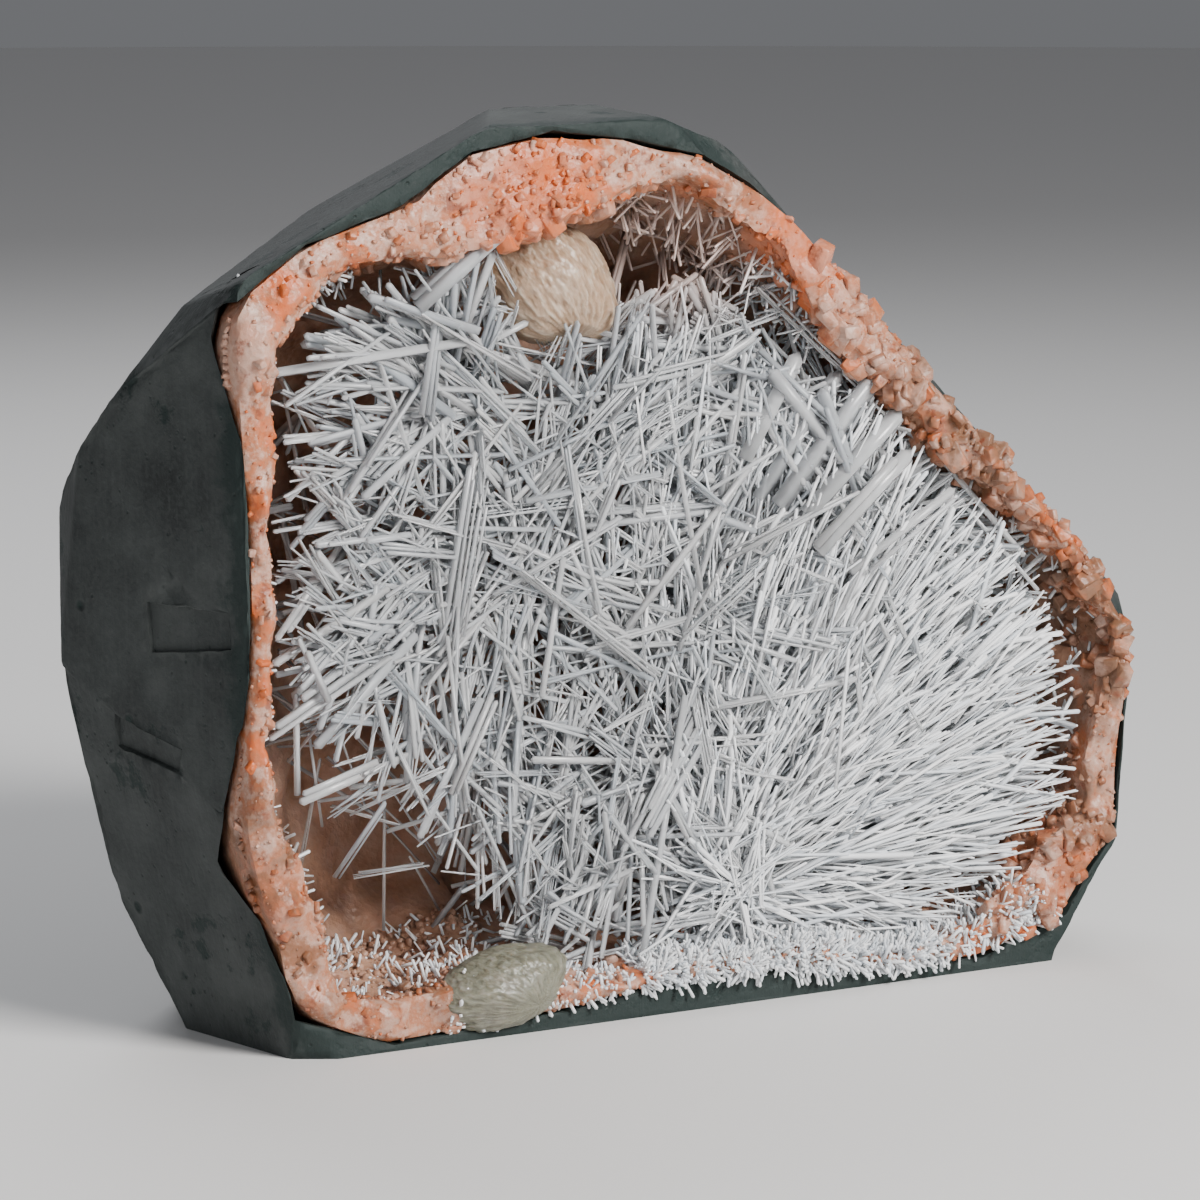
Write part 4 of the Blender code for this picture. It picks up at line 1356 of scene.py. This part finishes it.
class NeedleBundles:
    """Grows needles, one bundle of nearly parallel ones at a time, in one field of crystals."""

    least_length: float = 6.0
    star_tries: int = 6
    fill_tries: int = 12

    def __init__(self, bed: Bed, bounds: Bounds, seed: int) -> None:
        """Starts an empty field.

        Args:
            bed: What the needles stand in.
            bounds: Where they may be.
            seed: The seed of their randomness.
        """
        self.bed = bed
        self.bounds = bounds
        self.mouth = bed.hollow.mouth
        self.chance = random.Random(seed)
        self.crystals = CrystalField(CrystalForm.NEEDLE)

    def between(self, pair: Pair, power: float = 1.0) -> float:
        """Draws a number in a range, nearer its start where the power is over 1."""
        return draw(self.chance, pair, power)

    def bundle(self, tip: Vector, axis: Vector, length: float, width: float, count: int) -> None:
        """Adds some nearly parallel needles side by side.

        Args:
            tip: The tip of the first needle.
            axis: Their direction, root to tip.
            length: Their length.
            width: Their width.
            count: How many there are.
        """
        chance = self.chance
        side = axis.orthogonal().normalized()
        side.rotate(Matrix.Rotation(chance.uniform(0.0, math.tau), 3, axis))
        roll = chance.uniform(0.0, math.tau)
        tone = chance.random()
        for number in range(count):
            off = side * width * 0.9 * number
            tilted = (axis + jitter(chance, 0.022)).normalized()
            own = length * (1.0 - 0.4 * chance.random() * (number > 0))
            slim = width * (1.0 if number == 0 else chance.uniform(0.4, 1.0))
            end = tip + off - axis * (length - own) * chance.random()
            if min(end.z, end.z - tilted.z * own) < self.bounds.ground:
                continue
            self.crystals.grow(
                end - tilted * own, turn_to(tilted, roll), slim, slim * chance.uniform(0.35, 1.0), own,
                0.75 * tone + 0.25 * chance.random(),
            )

    def star(self, star: Star) -> None:
        """Grows one star."""
        chance = self.chance
        made = 0
        for _ in range(star.bundles * self.star_tries):
            if made == star.bundles:
                return
            turn = math.radians(chance.gauss(star.aim, star.spread))
            way = Vector((math.cos(turn), 0.0, math.sin(turn)))
            middle = Vector((star.middle[0], self.mouth + star.depth, star.middle[1]))
            root = middle + Vector((chance.gauss(0.0, 5.5), chance.gauss(0.0, 2.0), chance.gauss(0.0, 5.5)))
            length = self.between(star.length)
            while length > self.least_length:
                if self.bounds.inside(root.x + way.x * length, root.z + way.z * length):
                    break
                length *= 0.85
            tip = root + way * length
            tip.y = self.mouth + max(self.between(star.tip_depth), self.bounds.front(tip.x, tip.z))
            if length < self.least_length or not self.bounds.clear(root, tip, self.mouth):
                continue
            if not self.bed.holds(tip, TIP_ROOM):
                continue
            axis = (tip - root).normalized()
            count = chance.choice((1, 1, 1, 2, 2, 3, 5))
            self.bundle(tip, axis, (tip - root).length, self.between(star.width, 2.2), count)
            made += 1

    def fill(self, fill: Fill, root: Optional[Pair]) -> None:
        """Grows needles by their tips.

        Args:
            fill: How they grow.
            root: Where they spread from, or none for all directions.
        """
        chance = self.chance
        made = 0
        for _ in range(fill.needles * self.fill_tries):
            if made == fill.needles:
                return
            x, z = chance.uniform(*fill.across), chance.uniform(0.0, 116.0)
            if not self.bounds.inside(x, z):
                continue
            tip = Vector((x, self.mouth + max(self.between(fill.tip_depth), self.bounds.front(x, z)), z))
            way = Vector((chance.gauss(0.0, 1.0), 0.0, chance.gauss(0.0, 1.0))).normalized()
            if root:
                away = Vector((x - root[0], 0.0, z - root[1]))
                if away.z < -10.0 or chance.random() > smooth_step(-26.0, 6.0, away.x + 0.1 * away.z):
                    continue
                if away.length > 5.0:
                    way = away.normalized() + way * fill.loose * chance.random()
            axis = (way - Vector((0.0, chance.uniform(0.05, 0.55), 0.0))).normalized()
            length = self.between(fill.length)
            if not self.bed.holds(tip, TIP_ROOM):
                continue
            behind = self.bed.wall_behind(tip, axis, length)
            if behind is not None:
                length = max(behind + TIP_ROOM, 2.0)
            if not self.bounds.clear(tip - axis * length, tip, self.mouth):
                continue
            self.bundle(tip, axis, length, self.between(fill.width, 1.8), chance.choice((1, 1, 2)))
            made += 1

    def accent(self, start: Pair, end: Pair, width: float, depth: float) -> None:
        """Adds one long needle that stands out of the net.

        Args:
            start: X and Z of its root.
            end: X and Z of its tip.
            width: Its width.
            depth: The depth of its tip, unless the room in front needs more.
        """
        tip = Vector((end[0], self.mouth + max(depth, self.bounds.front(*end)), end[1]))
        root = Vector((start[0], self.mouth + max(depth + 2.0, self.bounds.front(*start) + 0.8), start[1]))
        middle = root.lerp(tip, 0.5)
        tip.y = max(tip.y, self.mouth + self.bounds.front(middle.x, middle.z))
        self.bundle(tip, (tip - root).normalized(), (tip - root).length, width, self.chance.choice((1, 2)))

    def done(self, name: str) -> bpy.types.Object:
        """Joins the needles."""
        return self.crystals.build(name)


@dataclass
class ScoleciteNet:
    """The net of long needles: stars that cross each other, with deeper ones behind."""

    stars: Tuple[Star, ...] = (
        Star((14.5, 92.0), 9.0, 100, (12.0, 34.0), (0.28, 1.0), -48.0, 38.0),
        Star((14.5, 92.0), 10.0, 60, (10.0, 22.0), (0.28, 1.0), 160.0, 60.0),
        Star((-32.4, 95.0), 10.0, 115, (12.0, 33.0), (0.28, 1.1), 165.0, 75.0),
        Star((-40.7, 58.0), 11.0, 115, (12.0, 28.0), (0.28, 1.0), 185.0, 85.0),
        Star((-19.0, 68.0), 13.0, 130, (14.0, 32.0), (0.28, 1.0), 90.0, 120.0),
        Star((-3.3, 35.6), 11.0, 130, (12.0, 32.0), (0.28, 1.0), 250.0, 90.0),
        Star((-12.6, 17.0), 8.0, 80, (10.0, 24.0), (0.28, 0.9), 120.0, 80.0, (0.9, 6.0)),
        Star((6.0, 62.0), 12.0, 130, (12.0, 30.0), (0.28, 1.0), 30.0, 110.0),
        Star((-8.0, 88.0), 13.0, 75, (10.0, 28.0), (0.28, 1.0), 90.0, 100.0),
        Star((-38.0, 76.0), 13.0, 75, (12.0, 28.0), (0.28, 1.0), 180.0, 100.0),
        Star((33.0, 68.0), 11.0, 110, (12.0, 28.0), (0.28, 0.9), 20.0, 70.0),
        Star((-24.0, 44.0), 13.0, 75, (12.0, 28.0), (0.28, 1.0), 210.0, 90.0),
        Star((-53.7, 29.0), 12.0, 9, (7.0, 15.0), (0.3, 0.9), 90.0, 100.0, (2.0, 12.0)),
        Star((62.0, 46.0), 9.0, 24, (8.0, 16.0), (0.28, 0.8), 20.0, 60.0),
        Star((-20.0, 78.0), 9.0, 60, (16.0, 34.0), (0.28, 0.8), 0.0, 180.0, (7.0, 9.0)),
        Star((0.0, 55.0), 9.0, 60, (16.0, 34.0), (0.28, 0.8), 0.0, 180.0, (7.0, 9.0)),
        Star((-36.0, 66.0), 9.0, 45, (16.0, 34.0), (0.28, 0.8), 0.0, 180.0, (7.0, 9.0)),
    )
    accents: Tuple[Tuple[float, float, float, float, float], ...] = (
        (-35.0, 96.3, -58.3, 106.7, 1.4), (-34.7, 101.3, -65.4, 97.7, 1.2), (-46.0, 103.7, -63.4, 93.2, 1.1),
        (-35.1, 89.9, -48.3, 98.8, 1.2), (-32.9, 101.8, -50.8, 107.8, 1.2), (-43.3, 106.1, -31.3, 116.0, 1.8),
        (42.2, 81.9, 60.5, 63.1, 0.9), (45.8, 77.0, 63.2, 57.6, 1.0), (37.8, 84.4, 51.7, 76.7, 0.9),
        (-17.4, 68.0, -21.3, 48.0, 1.0), (-46.0, 65.9, -65.5, 56.9, 1.1), (-46.0, 55.8, -66.4, 46.3, 1.1),
        (26.9, 19.3, 33.8, 29.1, 1.1), (-3.0, 26.8, -1.6, 37.3, 0.9), (21.3, 25.8, 26.8, 39.1, 1.0),
        (3.8, 45.6, -7.0, 6.0, 0.9), (-42.9, 41.1, -61.0, 36.5, 1.0), (-31.5, 48.7, -41.9, 29.5, 1.0),
        (-41.2, 58.3, -57.8, 44.1, 1.2), (-20.8, 9.2, -33.7, 33.0, 1.0), (-37.3, 35.4, -29.6, 48.7, 1.1),
        (-57.2, 51.0, -62.4, 60.2, 0.9), (16.0, 74.0, 27.0, 92.0, 2.6), (18.5, 73.0, 32.0, 91.0, 3.0),
        (14.0, 80.0, 21.0, 95.0, 2.2), (22.0, 72.0, 36.0, 86.0, 2.4), (28.0, 80.0, 17.0, 93.0, 1.9),
        (24.0, 66.0, 38.0, 80.0, 2.0), (31.0, 74.0, 24.0, 90.0, 1.7), (30.0, 62.0, 46.0, 74.0, 1.7),
    )
    blade_width: float = 1.6
    behind: Fill = Fill(240, (-66.0, 20.0), (12.0, 24.0), (14.0, 26.0), (0.35, 0.9), 1.0)
    seed: int = 21

    def build(self, bed: Bed, bounds: Bounds) -> bpy.types.Object:
        """Grows the net.

        Args:
            bed: What it stands in.
            bounds: Where needles may be.

        Returns:
            The finished object.
        """
        needles = NeedleBundles(bed, bounds, self.seed)
        needles.fill(self.behind, None)
        for star in self.stars:
            needles.star(star)
        for x0, z0, x1, z1, width in self.accents:
            needles.accent((x0, z0), (x1, z1), width, 3.0 if width < self.blade_width else 1.2)
        return needles.done("needle_net")


@dataclass
class ScoleciteFan:
    """The dense mass of fine needles on the right, which spread from its foot."""

    foot: Pair = (9.7, 16.0)
    fills: Tuple[Fill, ...] = (
        Fill(900, (-16.0, 78.0), (8.0, 15.0), (9.0, 22.0), (0.35, 0.8), 0.8),
        Fill(2300, (-12.0, 78.0), (1.5, 10.0), (8.0, 22.0), (0.22, 0.5), 0.42),
        Fill(600, (-8.0, 78.0), (1.0, 6.0), (12.0, 28.0), (0.25, 0.8), 0.5),
    )
    seed: int = 33

    def build(self, bed: Bed, bounds: Bounds) -> bpy.types.Object:
        """Grows the fan.

        Args:
            bed: What it stands in.
            bounds: Where needles may be.

        Returns:
            The finished object.
        """
        needles = NeedleBundles(bed, bounds, self.seed)
        for fill in self.fills:
            needles.fill(fill, self.foot)
        return needles.done("needle_fan")


@dataclass(frozen=True)
class Turf:
    """A patch of short needles on the crust: where round the mouth, how deep, how many and how long."""

    angle: float
    half_width: float
    depth: Pair
    count: int
    length: Pair
    width: Pair
    loose: float


@dataclass
class Druse:
    """Short fine needles that cover the crust along the bottom and stand in tufts elsewhere."""

    turfs: Tuple[Turf, ...] = (
        Turf(283.0, 24.0, (-3.0, 9.0), 3400, (1.0, 3.6), (0.2, 0.45), 0.6),
        Turf(311.0, 9.0, (-3.0, 12.0), 600, (1.0, 3.6), (0.2, 0.45), 0.6),
        Turf(245.0, 12.0, (-3.0, 12.0), 700, (0.6, 2.4), (0.2, 0.45), 0.6),
        Turf(228.0, 20.0, (3.0, 26.0), 620, (0.8, 3.6), (0.18, 0.4), 0.6),
        Turf(84.0, 12.0, (6.0, 22.0), 150, (3.0, 10.0), (0.2, 0.4), 0.45),
        Turf(62.0, 12.0, (5.0, 16.0), 150, (2.0, 8.0), (0.2, 0.4), 0.5),
        Turf(150.0, 14.0, (4.0, 18.0), 260, (1.0, 4.0), (0.18, 0.4), 0.6),
        Turf(20.0, 22.0, (5.0, 18.0), 160, (1.5, 7.0), (0.2, 0.5), 0.6),
        Turf(345.0, 18.0, (5.0, 20.0), 160, (1.5, 7.0), (0.2, 0.5), 0.6),
        Turf(190.0, 18.0, (4.0, 16.0), 120, (1.0, 5.0), (0.2, 0.4), 0.6),
    )
    root_depth: float = 0.6
    front_reach: float = 3.4
    tip_height: float = 0.4
    seed: int = 8

    def build(self, spots: np.ndarray, crystals: "BlockyCrystals") -> bpy.types.Object:
        """Grows the short needles.

        Args:
            spots: The faces of the lining, as the blocky crystals list them.
            crystals: The blocky crystals, which know how to choose among the faces.

        Returns:
            The finished object.
        """
        chance = random.Random(self.seed)
        needles = CrystalField(CrystalForm.NEEDLE)
        for turf in self.turfs:
            rows = crystals.chosen(turf, spots)
            for row in chance.choices(rows, list(rows[:, 6]), k=turf.count):
                axis = (Vector(row[3:6]) + jitter(chance, turf.loose)).normalized()
                if row[8] < 2.0 and axis.y > 0.2:
                    axis.y = -axis.y
                length = draw(chance, turf.length, 1.6)
                reach = (row[8] + self.front_reach) / max(-axis.y, 0.05)
                width = chance.uniform(*turf.width)
                length = min(length, max(reach, self.root_depth))
                root = Vector(row[0:3]) - axis * self.root_depth
                if (root + axis * (length + self.tip_height)).z < self.tip_height:
                    continue
                turn = turn_to(axis, chance.uniform(0.0, 3.0))
                needles.grow(root, turn, width, width, length, chance.random())
        return needles.build("needle_druse")


# Floor, light and camera

@dataclass(frozen=True)
class Studio:
    """A pale floor, soft lights, and the camera at the photograph's angle."""

    azimuth: float = -30.0
    elevation: float = 9.0
    distance: float = 0.75
    view_width: float = 0.18
    sensor: float = 36.0
    target: Point = (-0.0011, -0.0135, 0.058)
    floor_radius: float = 3.0

    def floor(self) -> None:
        """Lays the floor."""
        deselect_all()
        bpy.ops.mesh.primitive_circle_add(vertices=96, radius=self.floor_radius, fill_type="NGON")
        floor = bpy.context.object
        floor.name = "floor"
        bench = Bench("pale floor")
        bench.dress(Base_Color=(0.84, 0.83, 0.82, 1.0), Roughness=0.7)
        floor.data.materials.append(bench.material)

    def lamp(self, name: str, place: Point, aim: Point, size: float, power: float, tint: Point) -> None:
        """Hangs one soft square lamp.

        Args:
            name: Its name.
            place: Where it hangs, in metres.
            aim: What it points at.
            size: Its side in metres.
            power: Its power in watts.
            tint: Its colour.
        """
        light = bpy.data.lights.new(name, "AREA")
        light.shape = "SQUARE"
        light.size = size
        light.energy = power
        light.color = tint
        lamp = put_in_scene(name, light)
        lamp.location = place
        lamp.rotation_euler = (Vector(place) - Vector(aim)).to_track_quat("Z", "Y").to_euler()

    def sky(self, strength: float) -> None:
        """Fills the room with even pale light."""
        world = bpy.data.worlds.new("studio")
        bpy.context.scene.world = world
        world.use_nodes = True
        inputs = world.node_tree.nodes["Background"].inputs
        inputs["Color"].default_value = (0.93, 0.95, 1.0, 1.0)
        inputs["Strength"].default_value = strength

    def camera(self) -> None:
        """Sets the camera."""
        turn = math.radians(self.azimuth)
        lift = math.radians(self.elevation)
        back = Vector((math.sin(turn) * math.cos(lift), -math.cos(turn) * math.cos(lift), math.sin(lift)))
        lens = bpy.data.cameras.new("camera")
        lens.sensor_width = self.sensor
        lens.lens = self.sensor * self.distance / self.view_width
        camera = put_in_scene("camera", lens)
        camera.location = Vector(self.target) + back * self.distance
        camera.rotation_euler = back.to_track_quat("Z", "Y").to_euler()
        bpy.context.scene.camera = camera

    @staticmethod
    def shorten_paths() -> None:
        """Keeps light paths short, because deep in the needles they add time and hardly any light."""
        cycles = bpy.context.scene.cycles
        cycles.use_light_tree = False
        cycles.max_bounces = 6
        cycles.diffuse_bounces = 2
        cycles.glossy_bounces = 2
        cycles.transmission_bounces = 5

    def build(self) -> None:
        """Sets up the floor, the lights and the camera."""
        self.floor()
        self.lamp("key", (0.24, -0.76, 0.52), (0.0, 0.0, 0.06), 0.30, 14.0, (1.0, 0.98, 0.96))
        self.lamp("fill", (-0.75, -0.75, 0.35), (0.0, 0.0, 0.06), 0.6, 1.7, (0.95, 0.97, 1.0))
        self.lamp("rim", (0.1, 0.6, 0.7), (0.0, 0.0, 0.08), 0.5, 3.2, (0.95, 0.97, 1.0))
        self.sky(0.17)
        self.camera()
        self.shorten_paths()


def main() -> None:
    """Builds the geode piece by piece and sets up the studio."""
    logging.basicConfig(level=logging.INFO, format="%(message)s")
    hollow = Hollow()
    mouth = hollow.mouth
    block = BasaltBlock().build()
    place_in_part(block, Slot.BASALT, BasaltFinish().make(mouth), ROCK)

    lining = CrustLining().build(hollow)
    crust_finish = HeulanditeFinish()
    place_in_part(lining, Slot.HEULANDITE, crust_finish.make("heulandite lining", mouth, False), CRUST)

    growths = BlockyCrystals()
    spots = growths.spots(lining, mouth, hollow.rock)
    blocks, grains = growths.build(spots)
    crystal_material = crust_finish.make("heulandite crystals", mouth, True)
    place_in_part(blocks, Slot.HEULANDITE, crystal_material, CRUST)
    place_in_part(grains, Slot.HEULANDITE, crystal_material, CRUST)

    upper = StilbiteLump(
        "stilbite_ball", (-17.6, mouth + 13.0, 107.5), (11.6, 10.2, 8.6), (-0.6, 0.5, 0.8), 24.0, 0.05,
    )
    # The foot's colours are darker copies of the ball's stilbite colours: painted shade.
    shaded_foot = StilbiteLump(
        "stilbite_foot", (-31.1, mouth + 1.5, 6.9), (10.4, 6.0, 5.6), (-0.3, 0.8, 0.5), -12.0, 0.6,
        StilbiteFinish(cream=(0.24, 0.22, 0.17), pale=(0.42, 0.39, 0.34), shade=(0.12, 0.11, 0.08)),
    )
    lumps = []
    for lump in (upper, shaded_foot):
        made = lump.build()
        place_in_part(made, Slot.STILBITE, lump.finish.make(lump.name, lump.greenish), CRUST)
        lumps.append(tree_of(made))

    bed = Bed(hollow, tree_of(lining), lumps)
    bounds = Bounds()
    clear = ScoleciteFinish().make("clear scolecite")
    milky = ScoleciteFinish(transmission=0.0, roughness=0.3).make("milky scolecite")
    place_in_part(ScoleciteNet().build(bed, bounds), Slot.SCOLECITE, clear, CRUST)
    place_in_part(ScoleciteFan().build(bed, bounds), Slot.SCOLECITE, milky, CRUST)
    druse = Druse().build(spots, growths)
    place_in_part(druse, Slot.SCOLECITE, milky, CRUST)

    Studio().build()


if __name__ == "__main__":
    main()
